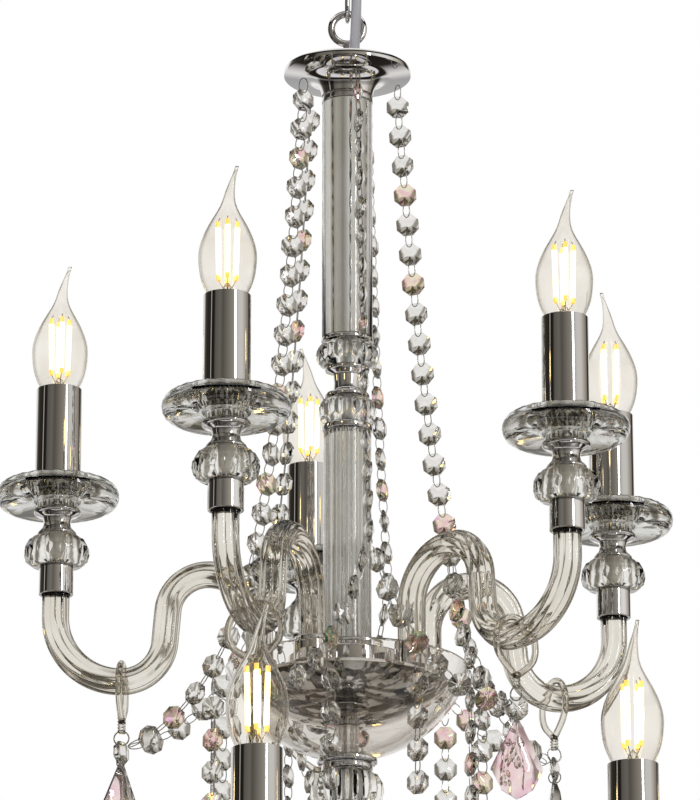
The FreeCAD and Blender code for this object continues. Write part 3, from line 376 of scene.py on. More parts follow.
def glass(name, index, tints, tint_mm, ripple_mm=0.0, depth_mm=0.0, painted_rim_shade=None, **inputs):
    """Clear glass whose colour drifts through its tints over patches of a size in millimetres.

    Ripples are a soft noise in the skin, of a size and depth in millimetres. Where the skin turns away from the eye,
    its colour is multiplied towards the rim colour: a painted shade for the dark sides that a thick edge bends into
    view.
    """
    look, tree, place, shader = finish(name, tints[0], **{
        "Transmission Weight": 1.0, "IOR": index, "Roughness": 0.0, **inputs})
    if ripple_mm:
        swell = add(tree, "ShaderNodeTexNoise", {"Vector": place, "Scale": 1000 / ripple_mm, "Detail": 1.0})
        bump = add(tree, "ShaderNodeBump", {"Height": swell.outputs["Fac"], "Strength": 1.0, "Distance": depth_mm * MM})
        tree.links.new(bump.outputs["Normal"], shader.inputs["Normal"])
    cloud = add(tree, "ShaderNodeTexNoise", {"Vector": place, "Scale": 1000 / tint_mm, "Detail": 1.0}).outputs["Fac"]
    stops = [(0.35 + 0.3 * k / (len(tints) - 1), tint) for k, tint in enumerate(tints)]
    tone = add(tree, "ShaderNodeValToRGB", {"Fac": cloud}, stops).outputs["Color"]
    # painted shade: the base colour darkens towards the rim colour where the skin turns away from the eye
    if painted_rim_shade:
        away = add(tree, "ShaderNodeLayerWeight", {"Blend": 0.5}).outputs["Facing"]
        edge = add(tree, "ShaderNodeValToRGB", {"Fac": away}, [(0.5, WHITE), (0.95, painted_rim_shade)]).outputs["Color"]
        tone = add(tree, "ShaderNodeMixRGB", {"Fac": 1.0, "Color1": tone, "Color2": edge},
                   blend_type="MULTIPLY").outputs["Color"]
    tree.links.new(tone, shader.inputs["Base Color"])
    return look


LEAD = 1.56                                                      # the refractive index of lead crystal
crystal = glass("cut lead crystal", LEAD, ("#f5f4f0", "#edebe5", "#f4f2ef"), 9.0)
pan_crystal = glass("pressed lead crystal", LEAD, ("#ebebea", "#e2e2dc", "#e9e8e6"), 12.0)
bead_crystal = glass("cut bead crystal", LEAD, ("#efedeb", "#e4e2dd", "#ecebe8"), 7.0)
coated_crystal = glass("coated lead crystal", LEAD, ("#f0c0ca", "#f3e8ca", "#ede4c0", "#efc8d8"), 7.0,
                       **{"Thin Film Thickness": 380.0, "Thin Film IOR": 1.8})
pink_crystal = glass("rose crystal", LEAD, ("#ecc8d0", "#f0e0dc", "#eac4d2"), 14.0)
# the last colour given to the drawn, blown and bulb glass is the painted shade at their rims
arm_glass = glass("drawn soda glass", 1.5, ("#e8e4db", "#dcd6ca", "#e5e1d8"), 40.0, 14.0, 0.25, "#b0a89b")
sleeve_glass = glass("fluted soda glass", 1.48, ("#f4f3f2", "#efeeea"), 30.0, 20.0, 0.1)
bowl_glass = glass("blown soda glass", 1.46, ("#f4f2ee", "#ebe7e2"), 50.0, 30.0, 0.2, "#cfcac3")
# its index is below glass's 1.5, matched to the faint edge that the photographed envelope shows
bulb_glass = glass("thin bulb glass", 1.3, ("#faf8f4", "#f4f1eb"), 25.0, 16.0, 0.04, "#b3aa99")
print("glasses", [look.name for look in bpy.data.materials if "glass" in look.name or "crystal" in look.name])

# %% [markdown]
# ## Light, plastic and cable
# A filament of an LED candle bulb is a strip of lit phosphor, pale yellow and brighter than white paper, with darker
# amber ends where the phosphor stops. The supply cable has a pale grey sheath, faintly glossy, the candle tube stands
# on a matt washer, and the lamp holder is moulded. They could be plain colours, but real skins are never quite even.

# %% Phosphor, moulded plastic and sheath
def lit(name, colour, strength, amber):
    """A glowing phosphor strip, with a faint grain 0.8 mm wide between its two colours."""
    look, tree, place, shader = finish(name, "#fff3d0", **{"Roughness": 0.5, "Emission Strength": strength})
    grain = add(tree, "ShaderNodeTexNoise", {"Vector": place, "Scale": 1000 / 0.8, "Detail": 1.0}).outputs["Fac"]
    glow = add(tree, "ShaderNodeValToRGB", {"Fac": grain}, [(0.3, colour), (0.7, amber)]).outputs["Color"]
    tree.links.new(glow, shader.inputs["Emission Color"])
    return look


phosphor = lit("lit phosphor", "#ffe9a8", 4.0, "#ffe08c")
phosphor_end = lit("phosphor end", "#ffc23a", 1.4, "#f7a81e")


def plain(name, colour, roughness, grain_mm, depth_mm, shade):
    """Moulded or drawn plastic: a fine pebbled skin and a slow drift between two close colours."""
    look, tree, place, shader = finish(name, colour, **{"Roughness": roughness, "IOR": 1.5})
    skin = add(tree, "ShaderNodeTexNoise", {"Vector": place, "Scale": 1000 / grain_mm, "Detail": 2.0}).outputs["Fac"]
    bump = add(tree, "ShaderNodeBump", {"Height": skin, "Strength": 0.6, "Distance": depth_mm * MM})
    tree.links.new(bump.outputs["Normal"], shader.inputs["Normal"])
    drift = add(tree, "ShaderNodeTexNoise", {"Vector": place, "Scale": 1000 / 25.0, "Detail": 1.0}).outputs["Fac"]
    tone = add(tree, "ShaderNodeValToRGB", {"Fac": drift}, [(0.35, colour), (0.65, shade)]).outputs["Color"]
    tree.links.new(tone, shader.inputs["Base Color"])
    return look


fibre = plain("pressed fibre washer", "#b9b3b6", 0.6, 1.5, 0.02, "#aca6a8")
holder_plastic = plain("moulded phenolic", "#efece6", 0.35, 1.2, 0.02, "#e6e2da")
sheath = plain("extruded PVC sheath", "#b4b4ba", 0.28, 1.5, 0.02, "#a9a9b0")
print("finishes", len(bpy.data.materials))

# %% [markdown]
# # The studio
# The photograph looks up at the lamp from some way off, against white. The camera stands where its perspective was
# measured: well below the lamp, 3.5 m away, with a long lens. A pale floor lies below. The studio is a white tent with
# dark cloths at its left and right and dark hoops above and below: without something dark to reflect, chrome and
# crystal have no edges. A single backdrop could not serve both, because metal mirrors what stands beside the camera and
# glass bends what stands behind the lamp, so each kind of ray is given its own strips.

# %% Camera and floor
camera = bpy.data.objects.new("camera", bpy.data.cameras.new("camera"))
LOOKS_UP = 17.83                                                 # degrees
camera.data.lens, camera.data.sensor_width = 245.0, 36.0
camera.data.clip_end = 50.0
camera.location = (0.0018, -3.4558, -1.5436)
camera.rotation_euler = (math.radians(90 + LOOKS_UP), 0, 0)
bpy.context.scene.collection.objects.link(camera)
bpy.context.scene.camera = camera

floor_mesh = bpy.data.meshes.new("studio_floor")
SPAN, FLOOR_LEVEL = 9, -2.9                                      # metres
floor_mesh.from_pydata([(x * SPAN, y * SPAN, FLOOR_LEVEL) for x, y in ((-1, -1), (1, -1), (1, 1), (-1, 1))], [],
                       [(0, 1, 2, 3)])
floor = bpy.data.objects.new("studio_floor", floor_mesh)
bpy.context.scene.collection.objects.link(floor)
floor_paint = plain("matt floor paint", "#f7f6f4", 0.7, 3.0, 0.02, "#f3f2f0")
tree = floor_paint.node_tree
# the eye sees the paint a little brighter than it is, so that it stays near white without more light on the lamp
direct = add(tree, "ShaderNodeLightPath").outputs["Is Camera Ray"]
glow = add(tree, "ShaderNodeMapRange", {"Value": direct, "To Min": 0.0, "To Max": 0.3}).outputs["Result"]
painted = next(node for node in tree.nodes if node.type == "BSDF_PRINCIPLED")
painted.inputs["Emission Color"].default_value = linear(WHITE)
tree.links.new(glow, painted.inputs["Emission Strength"])
floor_mesh.materials.append(floor_paint)
floor.visible_glossy = floor.visible_transmission = False
print("the camera looks up by", LOOKS_UP, "degrees; the floor is at", FLOOR_LEVEL, "m")

# %% The tent's strips as metal mirrors them
world = bpy.data.worlds.new("studio_tent")
bpy.context.scene.world = world
world.use_nodes = True
tree = world.node_tree
tree.nodes.clear()
BLACK = "#000000"
sky = add(tree, "ShaderNodeTexCoord").outputs["Generated"]
# the radial gradient runs once round: 0.25 is the camera's side, 0.5 the right, 0.75 the far side, 0 and 1 the left
round_about = add(tree, "ShaderNodeTexGradient", {"Vector": sky}, gradient_type="RADIAL").outputs["Fac"]
# the climb is 0 straight down, 0.5 level and 1 straight up
height = add(tree, "ShaderNodeSeparateXYZ", {"Vector": sky}).outputs["Z"]
climb = add(tree, "ShaderNodeMapRange", {"Value": height, "From Min": -1.0, "From Max": 1.0}).outputs["Result"]
PANELS = [
    (0.0, "#1b1916"), (0.016, "#1e1b18"), (0.022, "#c9c7c1"), (0.03, "#c9c7c1"), (0.036, "#211e1a"), (0.075, "#2a2723"),
    (0.095, "#6a6760"), (0.16, "#7c7972"), (0.2, "#65615a"), (0.25, "#807c75"), (0.335, "#a7a297"), (0.365, "#c9c8c6"),
    (0.41, "#efeeea"), (0.47, "#efeeeb"), (0.52, "#cfc8bc"), (0.585, "#96908a"), (0.61, "#3a352f"), (0.65, "#3a352f"),
    (0.68, "#f4f2ee"), (0.86, WHITE), (0.9, "#5d584f"), (0.95, "#35322c")]
HOOPS = [
    (0.0, "#3b3530"), (0.06, "#2b2623"), (0.09, "#dedde0"), (0.17, "#efeef0"), (0.19, "#1c1916"), (0.26, "#2a2622"),
    (0.3, "#c4c3c3"), (0.5, "#c4c3c3"), (0.77, "#16130f"), (0.83, "#1c1814"), (0.85, "#fbfaf8"), (0.93, "#fbfaf8"),
    (0.945, "#37322e"), (0.975, "#4a443e"), (0.985, "#f4f3f1")]
panels, hoops, level_only, shaded = [
    add(tree, "ShaderNodeValToRGB", {"Fac": way}, stops).outputs["Color"] for way, stops in (
        (round_about, PANELS), (climb, HOOPS), (climb, [(0.26, WHITE), (0.31, BLACK), (0.74, BLACK), (0.77, WHITE)]),
        (climb, [(0.3, WHITE), (0.33, "#b4b5b8"), (0.42, "#c2c3c5"), (0.5, WHITE)]))]
tent = add(tree, "ShaderNodeMixRGB", {"Fac": level_only, "Color1": panels, "Color2": hoops}).outputs["Color"]
mirrored = add(tree, "ShaderNodeMixRGB", {"Fac": 1.0, "Color1": tent, "Color2": shaded},
               blend_type="MULTIPLY").outputs["Color"]
print("tent nodes", len(tree.nodes))

# %% The tent as glass bends it
steep = add(tree, "ShaderNodeValToRGB", {"Fac": climb}, [
    (0.0, "#c9c7c2"), (0.14, "#a5a29b"), (0.26, "#cfcdc8"), (0.42, "#e2e1dd"), (0.47, WHITE), (0.73, WHITE),
    (0.79, "#b9b5ac"), (0.87, "#989287"), (0.92, "#dddbd6"), (1.0, "#eeece8")]).outputs["Color"]
# four dark cloths hang on the far side: each has where it starts, is full, is full to, ends, and its colour
CLOTHS = ((0.61, 0.617, 0.633, 0.64, "#8f8a82"), (0.655, 0.664, 0.684, 0.694, "#827c73"),
          (0.802, 0.81, 0.825, 0.833, "#a39e96"), (0.85, 0.858, 0.874, 0.882, "#8a857c"))
sides = add(tree, "ShaderNodeValToRGB", {"Fac": round_about}, [
    (0.0, "#d9d6cf"), (0.045, "#b3afa7"), (0.1, "#d2d0ca"), (0.15, "#c2c0ba"), (0.19, "#a3a19c"), (0.23, "#c6c6c2"),
    (0.27, "#f2f3f3"), (0.36, "#e9e8e5"), (0.45, "#ecebe7"), (0.51, "#b9b4ac"), (0.56, "#e4e1dc"), (0.6, WHITE),
    *[stop for a, b, c, d, dark in CLOTHS for stop in ((a, WHITE), (b, dark), (c, dark), (d, WHITE))],
    (0.93, WHITE)]).outputs["Color"]
plain_bent = add(tree, "ShaderNodeMixRGB", {"Fac": 1.0, "Color1": steep, "Color2": sides},
                 blend_type="MULTIPLY").outputs["Color"]
cells = add(tree, "ShaderNodeTexVoronoi", {"Vector": sky, "Scale": 7.0}).outputs["Color"]
panes = add(tree, "ShaderNodeValToRGB", {"Fac": cells}, [
    (0.3, "#4a463f"), (0.36, "#a9a69e"), (0.4, WHITE), (0.64, WHITE), (0.7, "#7d786e")]).outputs["Color"]
off_level = add(tree, "ShaderNodeValToRGB", {"Fac": climb}, [
    (0.3, WHITE), (0.38, BLACK), (0.71, BLACK), (0.76, WHITE)]).outputs["Color"]
pane_share = add(tree, "ShaderNodeMixRGB", {"Fac": off_level, "Color1": linear(WHITE), "Color2": panes}).outputs["Color"]
bent = add(tree, "ShaderNodeMixRGB", {"Fac": 1.0, "Color1": plain_bent, "Color2": pane_share},
           blend_type="MULTIPLY").outputs["Color"]
# a bent ray sees the bent tent, a mirrored one the mirrored, a matt surface one even grey, and the eye itself plain white
ray = add(tree, "ShaderNodeLightPath").outputs
seen = add(tree, "ShaderNodeMixRGB", {"Fac": ray["Is Transmission Ray"], "Color1": mirrored,
                                      "Color2": bent}).outputs["Color"]
level = add(tree, "ShaderNodeMixRGB", {"Fac": ray["Is Diffuse Ray"], "Color1": seen, "Color2": linear("#cfcdca")})
shown = add(tree, "ShaderNodeMixRGB", {"Fac": ray["Is Camera Ray"], "Color1": level.outputs["Color"],
                                       "Color2": linear(WHITE)}).outputs["Color"]
backdrop = add(tree, "ShaderNodeBackground", {"Color": shown}).outputs["Background"]
add(tree, "ShaderNodeOutputWorld", {"Surface": backdrop})
print("tent nodes", len(tree.nodes))

# %% Soft lamps
LAMPS_FACE = (0, 0, -0.6)


def soft_lamp(name, place, size, power, reflected=False, tall=1.0):
    """An area lamp, in metres and watts. Only a reflected one is seen mirrored in metal and glass."""
    lamp = bpy.data.objects.new(name, bpy.data.lights.new(name, "AREA"))
    lamp.data.shape, lamp.data.size, lamp.data.size_y, lamp.data.energy = "RECTANGLE", size, size * tall, power
    lamp.visible_glossy, lamp.visible_transmission = reflected, False
    ahead = np.subtract(LAMPS_FACE, place)
    lamp.location = place
    lamp.rotation_euler = (math.acos(-ahead[2] / np.linalg.norm(ahead)), 0, math.atan2(ahead[0], -ahead[1]) + math.pi)
    bpy.context.scene.collection.objects.link(lamp)


soft_lamp("key_lamp", (-2.0, -2.2, 0.6), 0.7, 10)
soft_lamp("strip_lamp", (1.68, -2.07, 0.27), 0.26, 14, True, 5.0)
soft_lamp("back_lamp", (0.8, 2.4, 0.4), 0.8, 9)
bpy.context.scene.view_settings.view_transform = "Standard"
print("lamps", [light.name for light in bpy.data.lights])

# %% [markdown]
# # Hanging from the ceiling
# The canopy is a spun chrome cup. Its threaded stem ends in an eye, three oval links hang from that, and the lamp's own
# eye closes round the lowest. Wire like this is bent round a former, so it is a round section carried along a closed
# path. A torus would serve for the eyes, but not for the links' straight sides.

# %% Smooth lines through stations
def through(stations, count):
    """A natural cubic spline through stations, with the chord length as its parameter: second derivatives are solved for
    all stations at once, and each span is the cubic that they give."""
    p = np.asarray(stations, float)
    t = np.append(0, np.cumsum(np.linalg.norm(np.diff(p, axis=0), axis=1)))
    h, inner = np.diff(t), np.arange(1, len(p) - 1)
    slope = np.diff(p, axis=0) / h[:, None]
    system, right = np.eye(len(p)), np.zeros_like(p)
    system[inner, inner - 1], system[inner, inner], system[inner, inner + 1] = h[:-1], 2 * (h[:-1] + h[1:]), h[1:]
    right[1:-1] = 6 * np.diff(slope, axis=0)
    bend = np.linalg.solve(system, right)
    s = np.linspace(0, t[-1], count)
    k = np.clip(np.searchsorted(t, s, side="right") - 1, 0, len(p) - 2)
    span, u = h[k][:, None], ((t[k + 1] - s) / h[k])[:, None]
    w = 1 - u
    return u * p[k] + w * p[k + 1] + ((u ** 3 - u) * bend[k] + (w ** 3 - w) * bend[k + 1]) * span ** 2 / 6


def cubic(a, b, c, d, t):
    """A cubic with four handles: (1-t)³ a + 3t(1-t)² b + 3t²(1-t) c + t³ d."""
    return (1 - t) ** 3 * a + 3 * t * (1 - t) ** 2 * b + 3 * t ** 2 * (1 - t) * c + t ** 3 * d


def evenly(path, count):
    """The path again, with points at equal distances along it."""
    path = np.asarray(path, float)
    run = np.append(0, np.cumsum(np.linalg.norm(np.diff(path, axis=0), axis=1)))
    at = np.linspace(0, run[-1], count)
    return np.stack([np.interp(at, run, path[:, k]) for k in range(path.shape[1])], axis=-1)


def bend(centre, radius, first, last, step=3.0):
    """Points of an arc in (x, z), angles in degrees from +x towards +z."""
    a = np.radians(np.linspace(first, last, max(2, int(abs(last - first) / step) + 1)))
    return np.asarray(centre, float) + radius * np.stack([np.cos(a), np.sin(a)], axis=-1)


def upright(points, plane="xz"):
    """(a, z) points stood up in the XZ plane or the YZ plane."""
    zero = np.zeros(len(points))
    a, z = points[:, 0], points[:, 1]
    return np.stack([a, zero, z] if plane == "xz" else [zero, a, z], axis=-1)


def wire_loop(points, plane, wire, sides=14):
    across = (0, 1, 0) if plane == "xz" else (1, 0, 0)
    return carried(upright(points, plane), across, round_section(wire, sides), closed=True)

# %% Canopy, its eye and the chain
CANOPY_EYE, LOWER_EYE = -57.9, -166.5
CABLE_TOP, CABLE_FOOT = (11.05, -12.39), (4.9, -12.69)


def eye(height):
    """A ring bent from 5 mm wire, 16.8 mm across inside."""
    return wire_loop(bend((0, height), 10.9, 0, 360, 6)[:-1], "xz", 2.5)


canopy_skin = np.vstack([[(5.3, -43)], bend((26, -9), 34, -90, 0, 6), [(60, 0), (58.8, 0)],
                         bend((26, -9), 32.8, 0, -90, 6), [(5.3, -41.8)]])
stem = softened([(0, -46), (9, -46), (9, -43.3), (5, -43.3), (5, -0.6), (0, -0.6)], 0.6)
piece("canopy_cup", "ceiling_mount", [(spun(canopy_skin, 96), chrome, True)], ["canopy"])
piece("canopy_stem", "ceiling_mount", [(spun(stem, 32), chrome, True), (eye(CANOPY_EYE), chrome, True)],
      ["canopy_eye"])


LINK_R, LINK_STRAIGHT, LINK_PITCH = 9.25, 16.0, 30.7


def chain_link(top):
    """An oval: two half circles joined by straight sides, its top bar at a height, with points at equal distances."""
    line = np.vstack([bend((0, top - LINK_R), LINK_R, 0, 180, 7.5),
                      bend((0, top - LINK_R - LINK_STRAIGHT), LINK_R, 180, 360, 7.5)])
    return evenly(np.vstack([line, line[:1]]), 65)[:-1]


piece("chain", "chain", [
    (wire_loop(chain_link(-64.25 - LINK_PITCH * k), "yz" if k % 2 == 0 else "xz", 1.75), chrome, True)
    for k in range(3)], ["chain_links"])
eye_stem = softened([(0, RIM + 210), (3, RIM + 210), (3, RIM + 227), (6, RIM + 227), (6, RIM + 230.5), (3, RIM + 230.5),
                     (3, RIM + 242.6), (0, RIM + 242.6)], 0.4)
piece("lamp_eye", "chandelier", [(eye(LOWER_EYE), chrome, True), (spun(eye_stem, 32), chrome, True)],
      ["top_eye"])

# %% [markdown]
# ## Supply cable
# The cable comes out of the canopy, runs down beside the chain and goes through the top disc. On the real lamp it is
# held at both ends and gives a little when the lamp swings. Here it is made in two lengths: one bends between the
# canopy and the chain, the other between the chain and the lamp, and neither rides on a body of the frame.

# %% The cable's two lengths
BESIDE_CHAIN, CABLE_R = (5.8, -6.5), 3.45
cable_line = through([(*CABLE_TOP, -40), (*CABLE_TOP, -50), (*BESIDE_CHAIN, -80), (*BESIDE_CHAIN, -120),
                      (*BESIDE_CHAIN, -163), (*CABLE_FOOT, -187), (*CABLE_FOOT, -203.5)], 121)
print("cable", round(float(np.linalg.norm(np.diff(cable_line, axis=0), axis=1).sum()), 1), "mm")
middle = int(np.argmin(np.abs(cable_line[:, 2] + 118)))
side_on = unit(np.cross(np.gradient(cable_line, axis=0), (0.66, -0.75, 0)))
upper_cable, lower_cable = [
    piece("cable_" + end, None,
          [(carried(cable_line[span], side_on[span], round_section(CABLE_R, 24)), sheath, True)], ["supply_cable"])
    for end, span in (("upper", slice(middle + 1)), ("lower", slice(middle, None)))]
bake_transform(upper_cable)
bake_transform(lower_cable)

# %% [markdown]
# # The column
# From the top disc down, the column is a stack on one rod: glass sleeves over mirror-bright cores, chrome rings and cut
# crystal balls. The disc is spun thin with a trumpet neck that closes on the sleeve.

# %% Top disc, sleeves, cores and rings
def hung(section):
    """A section given from the upper rim, moved to its real height."""
    return np.asarray(section, float) + (0, RIM)


def turned(name, steps, sections, *nodes, look=chrome, crease=32):
    """A turned piece of the column: each section, given from the upper rim, goes round the lamp's axis."""
    piece(name, "chandelier", [(spun(hung(section), steps), look, True) for section in sections], nodes, crease)


neck = bend((31, 204), 13.5, 180, 90, 7.5)
disc = np.vstack([neck, [(43, 218.9), (43.2, 221.0), (42.6, 222.9), (8, 227), (3.2, 227), (3.2, 220.5), (22.9, 220.5)],
                  bend((31, 204), 15, 110, 180, 7.5)])
collar = softened([(12, 204), (15.5, 199), (17.4, 199), (17.4, 202.5), (15.4, 204.6), (15.4, 207), (12, 207)], 0.8)
turned("top_disc_spun", 120, [disc], "top_disc", crease=50)
turned("sleeve_collar", 72, [collar])

# each sleeve: outer radius, bore, top, foot, the radius of its core, and how many flutes its bore has
SLEEVES = ((17, 16.1, 204, 30.6, 15.6, 0), (16, 13.6, -35, -190, 10, 28), (16, 13.6, -298, -548, 10, 28))
piece("sleeves", "chandelier", [
    (spun(hung(tube(out, bore, top, foot, 0.5)), 224, flutes, 0.7, out - 1.2), sleeve_glass, True)
    for out, bore, top, foot, _, flutes in SLEEVES], ["column_glass_sleeves"], crease=50)
turned("cores", 64, [tube(core, core - 1, top, foot) for _, _, top, foot, core, _ in SLEEVES], "column_core_tubes",
       look=core_chrome)
RINGS = ((17.5, 30.6, 3), (17, -30, 5), (17, -262, 5), (17, -293, 5), (17, -548, 5))             # radius, top, height
turned("rings", 72, [softened([(BORE, top - high), (r, top - high), (r, top), (BORE, top)], high * 0.42, 6)
                     for r, top, high in RINGS], "column_rings")

# %% [markdown]
# ## Cut crystal balls
# A ball is cut on a wheel: V grooves run from its shoulder above to its shoulder below, so that tall flat faces stand
# side by side all round. A smooth sphere would miss what makes crystal sparkle, so every other corner of each ring is
# drawn in, and flat faces join the corners. The finial is cut in rings of kite-shaped facets instead.

# %% The balls, the waist and the finial
BALL_PROFILE = ((0.86, 0.12), (0.97, 0.3), (1.0, 0.5), (0.97, 0.7), (0.86, 0.88))       # shares of radius and height


def ball(radius, top, height, seat, lobes=20):
    """Seat, shoulder, girdle, shoulder, seat, with V grooves from shoulder to shoulder."""
    foot = top - height
    between = [(radius * wide, foot + height * up) for wide, up in BALL_PROFILE]
    return grooved([(seat, foot), *between, (seat, top)], lobes, BORE)


BALLS = ((21, 27.6, 17.6, 14), (19.5, -11.4, 18.6, 14), (24, -267, 26, 14), (24, -553, 26, 14))
piece("crystal_balls", "chandelier", [
    (ball(r, RIM + top, high, seat), crystal, False) for r, top, high, seat in BALLS], ["column_crystal_balls"])
turned("waist", 64, [softened([(BORE, -11.4), (15, -11.4), (15, -8.8), (9.5, -6.4), (9.0, -0.7), (9.5, 5.0), (15, 7.4),
                               (15, 10), (BORE, 10)], 1.2, 5)], "waist_spool")
FINIAL_FOOT, FINIAL_HIGH = -745, 52
finial_rings = [(9, 0), (17, 0.07), (24, 0.2), (27.6, 0.4), (27.6, 0.6), (23, 0.82), (9, 1.0)]
piece("finial", "chandelier", [
    (bored([(r, RIM + FINIAL_FOOT + FINIAL_HIGH * up) for r, up in finial_rings], 16, BORE), crystal, False)],
    ["finial_ball"])
turned("finial_nut", 48, [softened([(0, -757), (4, -756.4), (6.75, -753.4), (9, -748), (9, -745), (BORE, -745),
                                    (BORE, -751), (0, -751)], 1.0)], "finial_cap")

# %% [markdown]
# # The two hubs
# A chrome drum stands on a round plate, and a cup closes the plate from below. The arms stand on the plate in small feet.
# A glass bowl goes round it all, held on the rod by a flange. Bowls are blown, so their wall is even and their rim
# fire-polished to a round lip.

# %% Drums, plates, cups, stems and bowls
HUBS = ((66, -207, 27, 58), (95, -606, 45, 80))      # plate radius, plate top, cup depth, how far out the arms stand
PLATE = 2.5                                          # thickness


def dome(radius, foot, depth, opening, runs=26, first=0.02):
    """A bowl's wall from near its middle to its rim: r = R sin a / sin A, z = foot + depth (1 - cos a) / (1 - cos A)."""
    last = math.radians(opening)
    a = np.linspace(last * first, last, runs)
    return np.stack([radius * np.sin(a) / math.sin(last), foot + depth * (1 - np.cos(a)) / (1 - math.cos(last))], -1)


def spun_cup(radius, top, depth, wall=1.2):
    """A cup closed at its foot, 62 degrees of a dome."""
    outside = dome(radius, top - depth, depth, 62, 22, 0.12)
    inside = dome(radius - wall, top - depth + wall, depth - wall, 62, 22, 0.12)[::-1]
    return np.vstack([[(BORE, top - depth)], outside, inside, [(BORE, top - depth + wall)]])


def bowl(radius, foot, depth, wall=3.0):
    """A bowl, 74 degrees of a dome, with a round lip."""
    outside = dome(radius, foot, depth, 74, 30, 0.1)
    inside = dome(radius - wall, foot + wall, depth - wall, 74, 30, 0.1)[::-1]
    lip = bend((radius - wall / 2, foot + depth - 0.4), wall / 2, 0, 180, 22.5)
    return np.vstack([[(BORE, foot)], outside[:-1], lip, inside[1:], [(BORE, foot + wall)]])


def drum(radius, top, height):
    return softened([(BORE, top - height), (radius, top - height), (radius, top), (BORE, top)], 1.6, 5)


turned("drums", 112, [drum(39, -190, 17), drum(52, -579, 27)], "hub_drums")
turned("plates", 128, [tube(r, BORE, top, top - PLATE, 0.5) for r, top, _, _ in HUBS], "arm_plates")
turned("cups", 128, [spun_cup(r, top - PLATE, deep) for r, top, deep, _ in HUBS], "hub_cups")
turned("bowl_tubes", 40, [tube(7.5, BORE, top, foot) for top, foot in ((-236.5, -254.4), (-653.5, -685.4))], "bowl_stems")
BOWLS = (("upper_bowl", 80.2, -258, 60, 128), ("lower_bowl", 115, -689, 86, 144))    # node, radius, foot, depth, steps
for node, radius, foot, depth, steps in BOWLS:
    piece(node + "_blown", "chandelier", [(spun(hung(bowl(radius, foot, depth)), steps), bowl_glass, True)],
          [node], crease=50)
turned("flanges", 64, [softened([(BORE, foot - 4), (20, foot - 4), (20, foot - 0.3), (BORE, foot - 0.3)], 1.5, 5)
                       for _, _, foot, _, _ in BOWLS], "bowl_flanges")

# %% [markdown]
# # Glass arms
# Each arm is a fluted glass rod, drawn hot and bent over a form: up from its foot, over an arch, down a long slope,
# through a deep sweep and up into its ferrule. A curve with a bevel would give the bend, but not the flutes, so an
# eight-lobed section is carried along the path.

# %% The arms' path and section
def arm_path(foot, reach, arch, shoulder, dip, sweep, rise, crown, start, end=-127.5, count=150):
    """Leg, arch, shoulder, straight, dip, sweep and riser in (distance from the axis, height from the rim).

    The straight is the common tangent of shoulder and dip: it leans 90 - fall - asin((s + d) / distance) from upright.
    """
    s_centre, d_centre = np.array([foot + arch, -crown - shoulder]), np.array([reach - sweep, end - rise - sweep + dip])
    run, fall = d_centre - s_centre
    lean = 90 - math.degrees(math.atan2(-fall, run)) - math.degrees(math.asin((shoulder + dip) / math.hypot(run, fall)))
    return evenly(np.vstack([
        [(foot, start)], bend((foot + arch, -crown - arch), arch, 180, 90), bend(s_centre, shoulder, 90, lean),
        bend(d_centre, dip, 180 + lean, 270), bend((reach - sweep, end - rise), sweep, 270, 360), [(reach, end)]]), count)


def fluted(radius, depth, lobes=8, sides=48):
    """A closed section of radius - depth · (1 - |cos(lobes t / 2)| ^ 0.7): round ribs with sharp valleys between."""
    t = np.append(np.arange(sides), 0) * 2 * np.pi / sides
    r = radius - depth * (1 - np.abs(np.cos(lobes * t / 2)) ** 0.7)
    return np.stack([r * np.cos(t), r * np.sin(t)], axis=-1)


FOOT_FLOOR, LOWER_DROP = 1.8, 342.5       # a foot's floor, and how far the lower rims hang below the upper ones
arm_section = fluted(9.15, 1.5)
upper_path = arm_path(HUBS[0][3], UPPER_REACH, arch=35, shoulder=26, dip=28, sweep=45, rise=30.35, crown=131,
                      start=HUBS[0][1] + FOOT_FLOOR)
lower_path = arm_path(HUBS[1][3], LOWER_REACH, arch=62, shoulder=50, dip=55, sweep=74, rise=33.8, crown=125,
                      start=HUBS[1][1] + LOWER_DROP + FOOT_FLOOR)
for (tier, angles, _, level), path in zip(TIERS, (upper_path, lower_path)):
    glass_arm = carried(upright(path), (0, 1, 0), arm_section)
    piece(tier + "_glass_arms", "chandelier", [(standing(glass_arm, 0, angles, level), arm_glass, True)],
          [tier + "_arms"], crease=60)

# %% Feet and ferrules
GRIP, CUP_R, TAIL_HOLE = 9.6, 11.55, 5.2    # the socket's radius, the cup's, and the hole for the lamp holder's tail
foot_cup = spun(softened([(0, 0), (CUP_R, 0), (CUP_R, 16), (GRIP, 16), (GRIP, 1.5), (0, 1.5)], 0.7), 48)
piece("feet", "chandelier", [
    (standing(foot_cup, out, angles, RIM + top), chrome, True)
    for (_, angles, _, _), (_, top, _, out) in zip(TIERS, HUBS)], ["arm_feet"])
ferrule = spun(softened([(GRIP, -142.5), (CUP_R, -142.5), (CUP_R, -122.2), (TAIL_HOLE, -122.2), (TAIL_HOLE, -127.2),
                         (GRIP, -127.2)], 0.6), 48)
piece("ferrules", "chandelier", [
    (standing(ferrule, reach, angles, level), chrome, True) for _, angles, reach, level in TIERS], ["arm_ferrules"])

# %% [markdown]
# # One candle light
# Each arm carries a gem, a turned spool, a cut drip pan round a bright core, and a smoke-toned candle tube on a washer,
# all clamped together by the lamp holder's tail. They are drawn once, from their own rim, and stood at all fifteen
# places. The pan's edge is cut in kite-shaped facets, so it is made ring by ring and shaded flat.

